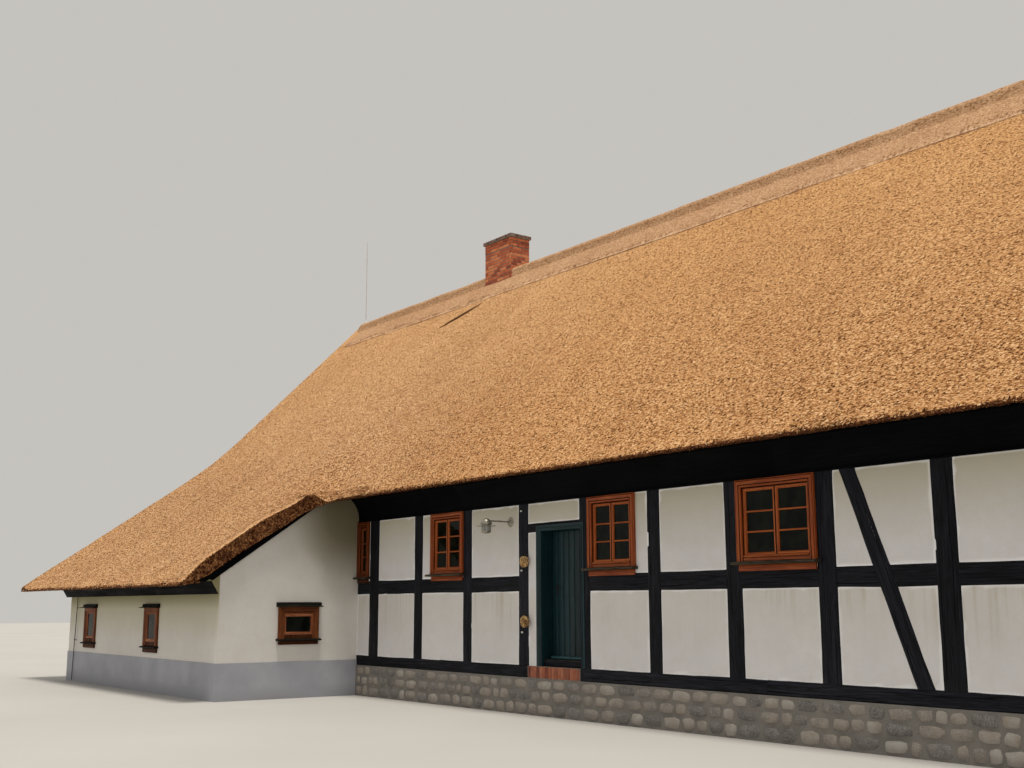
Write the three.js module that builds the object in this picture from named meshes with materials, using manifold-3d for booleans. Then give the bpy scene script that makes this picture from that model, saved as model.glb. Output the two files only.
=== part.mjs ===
// A long half-timbered cottage under one thatched roof, with a low rendered wing under its catslide.
//
// All lengths are millimetres. While it is built, X runs along the front wall from the wing's side
// wall, Y runs inwards from the front wall's outer face, and Z is the height above the ground. The
// last lines move the whole house so that its origin lies under the middle of its bounding box.

import * as THREE from "three";
import { mergeVertices } from "three/addons/utils/BufferGeometryUtils.js";
import Module from "manifold-3d";

const wasm = await Module();
wasm.setup();

// Driving dimensions

const GAP = 0.3;
const WALL = 280;
const TIMBER = 140;
const PANEL_RECESS = 8;

const HOUSE = { left: -8430, right: 17620, depth: 10620 };
const WING = { front: -2840, wall: 300, plinthTop: 660, eaveBoardLow: 1880, flareOut: 143, flareTop: 2112 };
const LEVEL = { plinthTop: 560, sillTop: 740, floor: 840, railLow: 1867, railTop: 2109, plate: 3252 };
const VERGE = { left: -9680, right: 18250, wing: 150 };

const THATCH = 280;
const EAVE = { y: -590, z: 3630, tip: 30, cutSlope: 0.183 };
const APEX_Z = 9560;
const CATSLIDE = {
  y: -3658, z: 2014, slope: 0.69, cutSlope: 0.145, blend: 1300, sweepFrom: -1222, sweepTo: -400,
};
const RIDGE_CAP = { left: -9440, reach: 650, thickness: 50, rollRadius: 150, crest: 9720 };
const CHIMNEY = { left: -3033, right: -1966, front: 5150, back: 5700, top: 10560, capRise: 80, capOut: 40 };
const FLUE = { width: 500, depth: 300, foot: 600 };

// Posts of the front wall, from the wing to the right corner, as left and right edges.
const POSTS_LEFT_OF_DOOR = [[520, 780], [2043, 2305], [3599, 3845], [5169, 5416]];
const POSTS_RIGHT_OF_DOOR = [
  [6685, 6915], [8179, 8424], [9664, 9929], [11167, 11438], [12801, 13080], [14340, 14590], [15850, 16100],
];
const CORNER_POST = 260;
const POST = 240;
const BRACE = 220;
const FRONT_BRACES = [
  { top: [11552, 11775], foot: [12470, 12690] },
  { top: [17023, 17246], foot: [16211, 16431] },
];

// The door: the frame's outer edges, the clear opening in it, and the leaf.
const DOOR = {
  left: 5631, right: 6791, head: 2899, clearLeft: 5746, clearRight: 6715, clearTop: 2806,
  frameFront: -15, frameBack: 262, thresholdTop: 844, thresholdFront: 42,
  stopTop: 898, stopDepth: 50, stopPlay: 6,
};
const LEAF = { play: 8, front: 215, back: 262, foot: 850, top: 2798 };
const HINGE = {
  x: 6712, y: 281, radius: 12, heights: [1160, 2440], knuckle: 60, plate: [60, 6], strap: [320, 8],
};
const LINTEL = { low: 2796, top: 2935 };

// Casements of the front wall, as the outer left and right edges of their casings.
const FRONT_WINDOWS = [[3, 435], [2610, 3610], [6900, 7935], [9888, 11178], [14700, 15740]];
const CASEMENT = {
  sillTop: 2209, sillRise: 40, sillOut: 110, sillSide: 35, apronLow: 2085, top: 3251,
  proud: 45, lap: 70, frame: 130, mullion: 90, depth: 95, glass: 6, glassLap: 25,
};
const HOOD = { out: 130, edge: 18, sillOut: 87, overhang: 40 };
const SMALL_WINDOW = {
  width: 830, low: 766, sillLow: 850, sillTop: 895, hoodLow: 1640, top: 1692,
  glassWidth: 372, glassLow: 1037, glassTop: 1498,
};
const SIDE_WINDOW = {
  width: 905, low: 964, sillLow: 1030, sillTop: 1070, hoodLow: 1655, top: 1710,
  glassWidth: 479, glassLow: 1205, glassTop: 1465,
};

const BACK_BAYS = 16;
const BACK_WINDOW_BAYS = [2, 7, 12];
const HIDDEN_WINDOW_WIDTH = 1050;
const BRACE_INSET = 100;
const GABLE_BAYS = 7;
const GABLE_WINDOW_BAYS = [2, 4];
const GABLE_RAILS = [[3252, 3490], [5150, 5380], [6950, 7180]];
const GABLE_BRACE = { foot: 900, top: 120 };
const WING_WINDOWS = [-7360, -3615];
const SIDE_WINDOW_X = -1700;
const LEFT_WINDOW_X = 7600;

const COVE = { foot: 3296, top: 3760, out: 179, lip: 25 };
const FASCIA_OVERHANG = 350;
const VERGE_BOARD = { drop: 60, thickness: 35, end: -1000 };
const PLINTH = { proud: 20, ledge: 430, wingProud: 15 };
const HANDLE = { x: 5885, z: 1935, reach: 120, plate: [44, 180], neck: 9, standOff: 46, lever: 16 };

// The lamp: a plate on the wall, an arm, and a head in rings, each ring as radius, foot and top.
const LAMP = {
  x: 4955, z: 2990, reach: 486, plateRadius: 84, plateDepth: 24, armRadius: 13,
  foot: [78, 2792, 2837], glass: [68, 2830, 2909], rim: [157, 2909, 2917], neck: [68, 2910, 2940],
  shoulder: [92, 2935, 2968], dome: [78, 2960, 3030],
};
const ORNAMENTS = { upper: [5395, 2341], lower: [5410, 1414] };
const ORNAMENT_RADII = [100, 72, 104];
const ROD = { x: -9240, top: 12178, radius: 10, footRadius: 40, footHeight: 40 };
const CONDUCTOR = {
  x: -7880, radius: 6, standOff: 45, foot: 30, top: 1870, clips: [907, 1625], clipHalf: 12,
};

// Materials

function material(color, roughness, metalness = 0) {
  return new THREE.MeshStandardMaterial({ color, roughness, metalness });
}

const MATERIALS = {
  blackTimber: material(0x1d1f24, 0.8),
  render: material(0xe9e5dc, 0.95),
  fieldstone: material(0x6f6d68, 0.95),
  wingPlinth: material(0x8f97a5, 0.95),
  floorBoards: material(0x7d6248, 0.8),
  thatch: material(0xb98b52, 1),
  ridgeThatch: material(0x8a5f3a, 1),
  windowWood: material(0x9a4a1e, 0.55),
  agedWood: material(0x54402f, 0.85),
  glass: material(0x8fa3b0, 0.05),
  doorPaint: material(0x12383d, 0.5),
  brick: material(0x9c4a35, 0.9),
  darkMetal: material(0x26282a, 0.45, 0.8),
  galvanised: material(0xa9b0b3, 0.4, 0.8),
  straw: material(0xb9935a, 1),
};

// Shapes

function block([x0, y0, z0], [x1, y1, z1]) {
  const geometry = new THREE.BoxGeometry(x1 - x0, y1 - y0, z1 - z0);
  return geometry.translate((x0 + x1) / 2, (y0 + y1) / 2, (z0 + z1) / 2);
}

function extrude(outline, depth) {
  const shape = new THREE.Shape(outline.map(([a, b]) => new THREE.Vector2(a, b)));
  return new THREE.ExtrudeGeometry(shape, { depth, bevelEnabled: false });
}

// An outline of [y, z] points, run along X.
function prismAlongX(outline, from, to) {
  const turn = new THREE.Matrix4().set(0, 0, 1, from, 1, 0, 0, 0, 0, 1, 0, 0, 0, 0, 0, 1);
  return extrude(outline, to - from).applyMatrix4(turn);
}

// An outline of [x, z] points, run along Y.
function prismAlongY(outline, from, to) {
  return extrude(outline, to - from).rotateX(Math.PI / 2).translate(0, to, 0);
}

// An outline of [x, y] points, run along Z.
function prismAlongZ(outline, from, to) {
  return extrude(outline, to - from).translate(0, 0, from);
}

function rectangle(x0, x1, z0, z1) {
  return [[x0, z0], [x1, z0], [x1, z1], [x0, z1]];
}

function upright(radius, x, y, from, to, sides) {
  const geometry = new THREE.CylinderGeometry(radius, radius, to - from, sides);
  return geometry.rotateX(Math.PI / 2).translate(x, y, (from + to) / 2);
}

// Joining and cutting

function solidOf(geometry) {
  const bare = geometry.clone();
  bare.deleteAttribute("normal");
  bare.deleteAttribute("uv");
  const merged = mergeVertices(bare, 0.01);
  const vertProperties = Float32Array.from(merged.attributes.position.array);
  const triVerts = Uint32Array.from(merged.index.array);
  return new wasm.Manifold(new wasm.Mesh({ numProp: 3, vertProperties, triVerts }));
}

function geometryOf(solid) {
  const { vertProperties, triVerts } = solid.getMesh();
  const geometry = new THREE.BufferGeometry();
  geometry.setAttribute("position", new THREE.BufferAttribute(Float32Array.from(vertProperties), 3));
  geometry.setIndex(new THREE.BufferAttribute(Uint32Array.from(triVerts), 1));
  geometry.computeVertexNormals();
  return geometry;
}

function join(pieces) {
  return geometryOf(pieces.map(solidOf).reduce((whole, piece) => whole.add(piece)));
}

function cut(body, cutters) {
  return geometryOf(cutters.map(solidOf).reduce((rest, cutter) => rest.subtract(cutter), solidOf(body)));
}

function common(a, b) {
  return geometryOf(solidOf(a).intersect(solidOf(b)));
}

// The nodes

const house = new THREE.Group();

function addNode(name, geometry, nodeMaterial, turn = 0, at = [0, 0, 0]) {
  const mesh = new THREE.Mesh(geometry, nodeMaterial);
  mesh.name = name;
  mesh.rotation.z = turn;
  mesh.position.set(...at);
  house.add(mesh);
}

// A wall is drawn lying behind the line y = 0, seen from outside, and these places turn it into the
// house: the front wall stays, and the others are turned and moved to their own outer faces.
const PLACES = {
  front: { turn: 0, at: [0, 0, 0] },
  back: { turn: Math.PI, at: [HOUSE.right, HOUSE.depth, 0] },
  right: { turn: Math.PI / 2, at: [HOUSE.right, 0, 0] },
  left: { turn: -Math.PI / 2, at: [HOUSE.left, HOUSE.depth, 0] },
  wingFront: { turn: 0, at: [0, WING.front, 0] },
  wingSide: { turn: Math.PI / 2, at: [0, 0, 0] },
};

function addTo(place, name, geometry, nodeMaterial) {
  addNode(name, geometry, nodeMaterial, PLACES[place].turn, PLACES[place].at);
}

// The roof's upper and lower faces, as heights over the plan. At each eave the thatch is cut nearly
// level, from its narrow tip back to the line where the slanting underside begins.

const RIDGE_Y = HOUSE.depth / 2;
const MAIN_SLOPE = (APEX_Z - EAVE.z - EAVE.tip) / (RIDGE_Y - EAVE.y);
const MAIN_RISE = THATCH * Math.hypot(1, MAIN_SLOPE);
const CATSLIDE_RISE = THATCH * Math.hypot(1, CATSLIDE.slope);
const MAIN_CUT_END = EAVE.y + (MAIN_RISE - EAVE.tip) / (MAIN_SLOPE - EAVE.cutSlope);
const CATSLIDE_CUT_END = CATSLIDE.y + (CATSLIDE_RISE - EAVE.tip) / (CATSLIDE.slope - CATSLIDE.cutSlope);

function mainTop(y) {
  return EAVE.z + EAVE.tip + MAIN_SLOPE * (y - EAVE.y);
}

function mainCut(y) {
  return EAVE.z + EAVE.cutSlope * (y - EAVE.y);
}

function mainUnder(y) {
  return Math.max(mainTop(y) - MAIN_RISE, mainCut(y));
}

function catslideTop(y) {
  return CATSLIDE.z + EAVE.tip + CATSLIDE.slope * (y - CATSLIDE.y);
}

function catslideUnder(y) {
  return Math.max(catslideTop(y) - CATSLIDE_RISE, CATSLIDE.z + CATSLIDE.cutSlope * (y - CATSLIDE.y));
}

// Where the two roof planes meet, above and below the thatch, and where the swept end meets the eave.
const CATSLIDE_HEAD = (catslideTop(0) - mainTop(0)) / (MAIN_SLOPE - CATSLIDE.slope);
const UNDER_HEAD = CATSLIDE_HEAD + (MAIN_RISE - CATSLIDE_RISE) / (MAIN_SLOPE - CATSLIDE.slope);
const SWEEP_CORNER = (mainCut(0) - catslideTop(0) + CATSLIDE_RISE) / (CATSLIDE.slope - EAVE.cutSlope);

function ease(value) {
  const t = THREE.MathUtils.clamp(value, 0, 1);
  return t * t * (3 - 2 * t);
}

// Near the main eave the catslide's right end sweeps down from its own plane to the main roof.
function sweptTop(y) {
  if (y <= CATSLIDE.sweepFrom) {
    return catslideTop(y);
  }
  if (y >= CATSLIDE.sweepTo) {
    return mainTop(y);
  }
  const t = (y - CATSLIDE.sweepFrom) / (CATSLIDE.sweepTo - CATSLIDE.sweepFrom);
  return THREE.MathUtils.lerp(catslideTop(CATSLIDE.sweepFrom), mainTop(CATSLIDE.sweepTo), t);
}

function sweptUnder(y) {
  return Math.max(mainTop(y) - MAIN_RISE, Math.min(catslideUnder(y), mainCut(y)));
}

function roofTop(x, y) {
  const plain = Math.max(catslideTop(y), mainTop(y));
  const share = ease((x + CATSLIDE.blend) / CATSLIDE.blend);
  return THREE.MathUtils.lerp(plain, y >= CATSLIDE_HEAD ? plain : sweptTop(y), share);
}

function roofUnder(x, y) {
  const plain = Math.max(catslideUnder(y), mainTop(y) - MAIN_RISE);
  const share = ease((x + CATSLIDE.blend) / CATSLIDE.blend);
  return THREE.MathUtils.lerp(plain, sweptUnder(y), share);
}

// Plinths and floor

function addBase() {
  const { proud, ledge, wingProud } = PLINTH;
  const back = HOUSE.depth + proud;
  const leftInner = HOUSE.left + WING.wall;
  const wingInner = WING.front + WING.wall;
  addNode("main_plinth", prismAlongZ([
    [wingProud + GAP, -proud], [HOUSE.right + proud, -proud], [HOUSE.right + proud, back],
    [leftInner + GAP, back], [leftInner + GAP, HOUSE.depth - ledge],
    [HOUSE.right - ledge, HOUSE.depth - ledge], [HOUSE.right - ledge, ledge], [GAP, ledge],
    [GAP, 0], [wingProud + GAP, 0],
  ], 0, LEVEL.plinthTop), MATERIALS.fieldstone);
  addNode("wing_plinth", prismAlongZ([
    [wingProud, -GAP], [wingProud, WING.front - wingProud],
    [HOUSE.left - wingProud, WING.front - wingProud], [HOUSE.left - wingProud, back],
    [leftInner, back], [leftInner, wingInner], [-WING.wall, wingInner],
    [-WING.wall, WALL], [0, WALL], [0, -GAP],
  ], 0, WING.plinthTop), MATERIALS.wingPlinth);
  addNode("ground_floor", prismAlongZ([
    [leftInner + GAP, wingInner + GAP], [-WING.wall - GAP, wingInner + GAP],
    [-WING.wall - GAP, WALL + GAP], [HOUSE.right - WALL - GAP, WALL + GAP],
    [HOUSE.right - WALL - GAP, HOUSE.depth - WALL - GAP], [leftInner + GAP, HOUSE.depth - WALL - GAP],
  ], LEVEL.plinthTop + GAP, LEVEL.floor), MATERIALS.floorBoards);
}

// Half-timbered walls. A beam is an outline of [x, z] points in the plane of its wall.

const BEAM_FOOT = LEVEL.plinthTop + GAP;
const BEAM_TOP = LEVEL.plate - GAP;

function post([x0, x1], top = BEAM_TOP) {
  return (grow) => rectangle(x0 - grow, x1 + grow, BEAM_FOOT - grow, top + grow);
}

function rail(x0, x1, z0, z1) {
  return (grow) => rectangle(x0 - grow, x1 + grow, z0 - grow, z1 + grow);
}

function brace({ top, foot }, low = LEVEL.sillTop, high = BEAM_TOP) {
  return (grow) => [
    [foot[0] - grow, low - grow], [foot[1] + grow, low - grow],
    [top[1] + grow, high + grow], [top[0] - grow, high + grow],
  ];
}

function timberFrame(beams) {
  return join(beams.map((beam) => prismAlongY(beam(0), 0, TIMBER)));
}

// Panels between the timbers, on an inner skin that runs behind them.
function infill(outline, beams, openings) {
  const body = prismAlongY(outline, PANEL_RECESS, WALL);
  const sockets = beams.map((beam) => prismAlongY(beam(GAP), -TIMBER, TIMBER + GAP));
  const holes = openings.map((opening) => prismAlongY(opening, -TIMBER, WALL + TIMBER));
  return cut(body, [...sockets, ...holes]);
}

// Windows. Each is drawn in the plane of its wall, from its casing's left edge at x0.

function casementHole([x0, x1]) {
  const { lap, sillTop, top } = CASEMENT;
  return rectangle(x0 + lap, x1 - lap, sillTop, top - lap);
}

function casement([x0, x1]) {
  const { sillTop, sillRise, sillOut, sillSide, apronLow, top, proud, lap, frame, mullion, depth } = CASEMENT;
  const sillLow = sillTop - sillRise;
  const middle = (x0 + x1) / 2;
  const casing = block([x0, -proud, sillTop - 1], [x1, -GAP, top]);
  const box = block([x0 + lap + GAP, -1, sillTop + GAP], [x1 - lap - GAP, depth, top - lap - GAP]);
  const light = block([x0 + frame, -proud - 1, sillTop + lap], [x1 - frame, depth + 1, top - frame]);
  const sill = block([Math.max(x0 - sillSide, 2), -sillOut, sillLow], [x1 + sillSide, -GAP, sillTop]);
  const apron = block([x0, -proud, apronLow], [x1, -GAP, sillLow + 1]);
  const pieces = [cut(join([casing, box]), [light]), sill, apron];
  if (x1 - x0 > 6 * mullion) {
    pieces.push(block([middle - mullion / 2, -proud / 2, sillTop], [middle + mullion / 2, depth, top - lap]));
  }
  return join(pieces);
}

function casementGlass([x0, x1]) {
  const { sillTop, top, lap, frame, depth, glass, glassLap } = CASEMENT;
  const side = frame - glassLap;
  return block([x0 + side, depth + GAP, sillTop + lap - glassLap],
    [x1 - side, depth + GAP + glass, top - frame + glassLap]);
}

function smallWindowHole(size, x0) {
  const side = (size.width - size.glassWidth) / 2 - CASEMENT.lap;
  return rectangle(x0 + side, x0 + size.width - side, size.sillTop + GAP, size.hoodLow - GAP);
}

function smallWindow(size, x0) {
  const { proud, lap, depth } = CASEMENT;
  const x1 = x0 + size.width;
  const { out, edge, sillOut, overhang } = HOOD;
  const side = (size.width - size.glassWidth) / 2;
  const casing = block([x0 + overhang, -proud, size.low], [x1 - overhang, -GAP, size.hoodLow + 1]);
  const box = block([x0 + side - lap + GAP, -1, size.sillTop + 2 * GAP],
    [x1 - side + lap - GAP, depth, size.hoodLow - 2 * GAP]);
  const light = block([x0 + side, -proud - 1, size.glassLow], [x1 - side, depth + 1, size.glassTop]);
  const hood = prismAlongX([
    [-GAP, size.hoodLow], [-out, size.hoodLow], [-out, size.hoodLow + edge], [-GAP, size.top],
  ], x0, x1);
  const sill = block([x0 + overhang / 2, -sillOut, size.sillLow], [x1 - overhang / 2, -GAP, size.sillTop]);
  return join([cut(join([casing, box]), [light]), hood, sill]);
}

function smallWindowGlass(size, x0) {
  const { depth, glass, glassLap } = CASEMENT;
  const side = (size.width - size.glassWidth) / 2 - glassLap;
  return block([x0 + side, depth + GAP, size.glassLow - glassLap],
    [x0 + size.width - side, depth + GAP + glass, size.glassTop + glassLap]);
}

// Front wall

function addFrontWall() {
  const doorBay = block([DOOR.left - GAP, -TIMBER, BEAM_FOOT - 1], [DOOR.right + GAP, 2 * WALL, BEAM_TOP + 1]);
  const leftEnd = POSTS_LEFT_OF_DOOR.at(-1)[1];
  const [rightStart, rightPostEnd] = POSTS_RIGHT_OF_DOOR[0];
  const leftBeams = [
    ...POSTS_LEFT_OF_DOOR.map((edges) => post(edges)),
    rail(GAP, leftEnd, BEAM_FOOT, LEVEL.sillTop),
    rail(GAP, leftEnd, LEVEL.railLow, LEVEL.railTop),
  ];
  const rightBeams = [
    ...POSTS_RIGHT_OF_DOOR.map((edges) => post(edges)),
    rail(rightStart, HOUSE.right, BEAM_FOOT, LEVEL.sillTop),
    rail((rightStart + rightPostEnd) / 2, HOUSE.right - CORNER_POST / 2, LEVEL.railLow, LEVEL.railTop),
    ...FRONT_BRACES.map((edges) => brace(edges)),
  ];
  const cornerPost = block([HOUSE.right - CORNER_POST, 0, BEAM_FOOT], [HOUSE.right, WALL, BEAM_TOP]);
  const aboveSill = block([DOOR.left, -1, LEVEL.sillTop + GAP / 2], [DOOR.right + GAP, WALL, DOOR.head + GAP]);
  addTo("front", "front_frame_left", timberFrame(leftBeams), MATERIALS.blackTimber);
  addTo("front", "front_frame_right", cut(join([timberFrame(rightBeams), cornerPost]), [aboveSill]),
    MATERIALS.blackTimber);

  const leftOutline = [
    [GAP, BEAM_FOOT], [leftEnd + GAP, BEAM_FOOT], [leftEnd + GAP, LEVEL.sillTop + GAP],
    [DOOR.left - GAP, LEVEL.sillTop + GAP], [DOOR.left - GAP, LINTEL.low - GAP],
    [leftEnd - GAP, LINTEL.low - GAP], [leftEnd - GAP, BEAM_TOP], [GAP, BEAM_TOP],
  ];
  const rightOutline = rectangle(rightStart + GAP, HOUSE.right - CORNER_POST - GAP, BEAM_FOOT, BEAM_TOP);
  const holes = FRONT_WINDOWS.map(casementHole);
  addTo("front", "front_infill_left", infill(leftOutline, leftBeams, holes), MATERIALS.render);
  const rightInfill = cut(infill(rightOutline, rightBeams, holes), [doorBay]);
  addTo("front", "front_infill_right", rightInfill, MATERIALS.render);
  const overDoor = join([
    block([leftEnd + GAP, PANEL_RECESS, LINTEL.top + GAP], [rightStart - GAP, TIMBER + 1, BEAM_TOP]),
    block([leftEnd + GAP, TIMBER + GAP, DOOR.head + GAP], [DOOR.right, WALL, BEAM_TOP]),
  ]);
  addTo("front", "infill_over_door", overDoor, MATERIALS.render);
  addTo("front", "door_lintel", prismAlongY([
    [leftEnd + GAP, LINTEL.low], [DOOR.left - GAP, LINTEL.low], [DOOR.left - GAP, DOOR.head + GAP],
    [rightStart - GAP, DOOR.head + GAP], [rightStart - GAP, LINTEL.top], [leftEnd + GAP, LINTEL.top],
  ], 0, TIMBER), MATERIALS.blackTimber);
  FRONT_WINDOWS.forEach((edges, index) => {
    addTo("front", `window_${index + 1}`, casement(edges), MATERIALS.windowWood);
    addTo("front", `window_${index + 1}_glass`, casementGlass(edges), MATERIALS.glass);
  });
}

// The plate that carries the roof, with its coved face under the eave, as an outline of [y, z] points.
function plateOutline() {
  const cove = new THREE.QuadraticBezierCurve(
    new THREE.Vector2(-COVE.out, mainUnder(-COVE.out) - COVE.lip),
    new THREE.Vector2(0, (COVE.foot + COVE.top) / 2),
    new THREE.Vector2(0, COVE.foot),
  );
  return [
    [0, LEVEL.plate], [WALL, LEVEL.plate], [WALL, mainUnder(WALL) - GAP],
    [MAIN_CUT_END, mainUnder(MAIN_CUT_END) - GAP], [-COVE.out, mainUnder(-COVE.out) - GAP],
    ...cove.getPoints(8).map((point) => [point.x, point.y]),
  ];
}

function addPlates() {
  const length = HOUSE.right - HOUSE.left - WING.wall;
  const front = prismAlongX(plateOutline(), GAP, HOUSE.right);
  addTo("front", "front_wall_plate", front, MATERIALS.blackTimber);
  addTo("back", "back_wall_plate", prismAlongX(plateOutline(), 0, length - GAP), MATERIALS.blackTimber);
}

// Back wall: the same storey as the front, with evenly spaced posts

function addBackWall() {
  const length = HOUSE.right - HOUSE.left - WING.wall - GAP;
  const pitch = (length - CORNER_POST) / BACK_BAYS;
  const edges = Array.from({ length: BACK_BAYS + 1 }, (_, i) => [i * pitch, i * pitch + POST]);
  edges[0][1] = CORNER_POST;
  edges[BACK_BAYS] = [length - CORNER_POST, length];
  const leaning = (bay, towards) => {
    const near = edges[bay][1] + BRACE_INSET;
    const far = edges[bay + 1][0] - BRACE_INSET - BRACE;
    const [top, foot] = towards > 0 ? [far, near] : [near, far];
    return brace({ top: [top, top + BRACE], foot: [foot, foot + BRACE] });
  };
  const beams = [
    ...edges.map((pair) => post(pair)),
    rail(0, length, BEAM_FOOT, LEVEL.sillTop),
    rail(CORNER_POST / 2, length - CORNER_POST / 2, LEVEL.railLow, LEVEL.railTop),
    leaning(0, -1), leaning(BACK_BAYS - 1, 1),
  ];
  const windows = hiddenWindows(BACK_WINDOW_BAYS, edges);
  const corner = block([0, 0, BEAM_FOOT], [CORNER_POST, WALL, BEAM_TOP]);
  addTo("back", "back_frame", join([timberFrame(beams), corner]), MATERIALS.blackTimber);
  const outline = rectangle(CORNER_POST + GAP, length, BEAM_FOOT, BEAM_TOP);
  addTo("back", "back_infill", infill(outline, beams, windows.map(casementHole)), MATERIALS.render);
  windows.forEach((pair, index) => {
    addTo("back", `back_window_${index + 1}`, casement(pair), MATERIALS.windowWood);
  });
  addTo("back", "back_window_glass", glassSheet(windows), MATERIALS.glass);
}

// Windows in the middle of some of a hidden wall's bays, between the posts at these edges.
function hiddenWindows(bays, edges) {
  return bays.map((bay) => {
    const middle = (edges[bay][1] + edges[bay + 1][0]) / 2;
    return [middle - HIDDEN_WINDOW_WIDTH / 2, middle + HIDDEN_WINDOW_WIDTH / 2];
  });
}

// One sheet that closes a hidden wall's windows against the inner face of the wall.
function glassSheet(windows) {
  const { sillTop, top, lap, glass } = CASEMENT;
  return block([windows[0][0], WALL + GAP, sillTop - lap], [windows.at(-1)[1], WALL + GAP + glass, top]);
}

// Right gable: a half-timbered storey and a half-timbered triangle up to the roof

function addRightGable() {
  const [near, far] = [WALL + GAP, HOUSE.depth - WALL - GAP];
  const shoulder = mainUnder(near) - GAP;
  const peak = mainUnder(RIDGE_Y) - GAP;
  const outline = [[near, BEAM_FOOT], [far, BEAM_FOOT], [far, shoulder], [RIDGE_Y, peak], [near, shoulder]];
  const pitch = (far - near - POST) / GABLE_BAYS;
  const edges = Array.from({ length: GABLE_BAYS + 1 }, (_, i) => [near + i * pitch, near + i * pitch + POST]);
  const rafterDrop = POST * Math.hypot(1, MAIN_SLOPE);
  const rafter = (grow) => [
    [near, shoulder - rafterDrop - grow], [RIDGE_Y, peak - rafterDrop - grow],
    [far, shoulder - rafterDrop - grow], [far, shoulder + 1], [RIDGE_Y, peak + 1], [near, shoulder + 1],
  ];
  const leaning = (foot, top) => (
    brace({ foot: [foot, foot + BRACE], top: [top, top + BRACE] }, LEVEL.sillTop, GABLE_RAILS[0][0] + 1)
  );
  const first = edges[0][1];
  const last = edges[GABLE_BAYS][0] - BRACE;
  const beams = [
    ...edges.map((pair) => post(pair, peak)),
    rail(near, far, BEAM_FOOT, LEVEL.sillTop),
    rail(near, far, LEVEL.railLow, LEVEL.railTop),
    ...GABLE_RAILS.map(([low, high]) => rail(near, far, low, high)),
    rafter,
    leaning(first + GABLE_BRACE.foot, first + GABLE_BRACE.top),
    leaning(last - GABLE_BRACE.foot, last - GABLE_BRACE.top),
  ];
  const windows = hiddenWindows(GABLE_WINDOW_BAYS, edges);
  const frame = common(timberFrame(beams), prismAlongY(outline, -1, TIMBER + 1));
  addTo("right", "right_gable_frame", frame, MATERIALS.blackTimber);
  addTo("right", "right_gable_infill", infill(outline, beams, windows.map(casementHole)), MATERIALS.render);
  windows.forEach((pair, index) => {
    addTo("right", `gable_window_${index + 1}`, casement(pair), MATERIALS.windowWood);
  });
  addTo("right", "gable_window_glass", glassSheet(windows), MATERIALS.glass);
}

// The wing and the left end: rendered walls on a painted plinth

function addRenderedWalls() {
  const foot = WING.plinthTop + GAP;
  const inner = WING.front + WING.wall;
  const flareY = WING.front - WING.flareOut;
  const under = (y) => Math.max(catslideUnder(y), mainTop(y) - MAIN_RISE) - GAP;
  const back = HOUSE.depth;
  const backEaveFace = mainUnder(0) - GAP;

  const leftWall = prismAlongX([
    [WING.front, foot], [back, foot], [back, backEaveFace], [RIDGE_Y, mainUnder(RIDGE_Y) - GAP],
    [UNDER_HEAD, under(UNDER_HEAD)], [WING.front, under(WING.front)],
  ], HOUSE.left, HOUSE.left + WING.wall);
  const leftHole = smallWindowHole(SMALL_WINDOW, LEFT_WINDOW_X);
  const leftHoleSolid = prismAlongY(leftHole, -WALL, 2 * WALL);
  leftHoleSolid.rotateZ(PLACES.left.turn).translate(...PLACES.left.at);
  addNode("left_wall", cut(leftWall, [leftHoleSolid]), MATERIALS.render);
  addTo("left", "left_window", smallWindow(SMALL_WINDOW, LEFT_WINDOW_X), MATERIALS.agedWood);
  addTo("left", "left_window_glass", smallWindowGlass(SMALL_WINDOW, LEFT_WINDOW_X), MATERIALS.glass);

  const frontWall = prismAlongX([
    [0, foot], [WING.wall, foot], [WING.wall, under(inner)], [0, under(WING.front)],
  ], HOUSE.left + WING.wall + GAP, -WING.wall - GAP);
  const holes = WING_WINDOWS.map((x) => prismAlongY(smallWindowHole(SMALL_WINDOW, x), -WALL, 2 * WALL));
  addTo("wingFront", "wing_front_wall", cut(frontWall, holes), MATERIALS.render);
  WING_WINDOWS.forEach((x, index) => {
    addTo("wingFront", `wing_window_${index + 1}`, smallWindow(SMALL_WINDOW, x), MATERIALS.agedWood);
    addTo("wingFront", `wing_window_${index + 1}_glass`, smallWindowGlass(SMALL_WINDOW, x), MATERIALS.glass);
  });

  const sweptY = [flareY, SWEEP_CORNER, MAIN_CUT_END, WALL];
  const sideWall = prismAlongX([
    [WALL, foot], ...sweptY.reverse().map((y) => [y, sweptUnder(y) - GAP]),
    [flareY, WING.flareTop], [WING.front, WING.eaveBoardLow], [WING.front, foot],
  ], -WING.wall, 0);
  const sideHole = prismAlongY(smallWindowHole(SIDE_WINDOW, SIDE_WINDOW_X), -WALL, 2 * WALL);
  sideHole.rotateZ(PLACES.wingSide.turn);
  addNode("wing_side_wall", cut(sideWall, [sideHole]), MATERIALS.render);
  addTo("wingSide", "wing_side_window", smallWindow(SIDE_WINDOW, SIDE_WINDOW_X), MATERIALS.agedWood);
  addTo("wingSide", "wing_side_window_glass", smallWindowGlass(SIDE_WINDOW, SIDE_WINDOW_X), MATERIALS.glass);

  addNode("wing_fascia", prismAlongX([
    [WING.front - GAP, WING.eaveBoardLow], [WING.front - GAP, under(WING.front)],
    [flareY, under(flareY)], [flareY, WING.flareTop],
  ], HOUSE.left - FASCIA_OVERHANG, -WING.wall - GAP), MATERIALS.blackTimber);
  const boardEnds = [flareY, VERGE_BOARD.end];
  addNode("wing_verge_board", prismAlongX([
    ...boardEnds.map((y) => [y, sweptUnder(y) - VERGE_BOARD.drop]),
    ...boardEnds.reverse().map((y) => [y, sweptUnder(y) - GAP]),
  ], GAP, VERGE_BOARD.thickness), MATERIALS.blackTimber);
}

// Door

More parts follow.
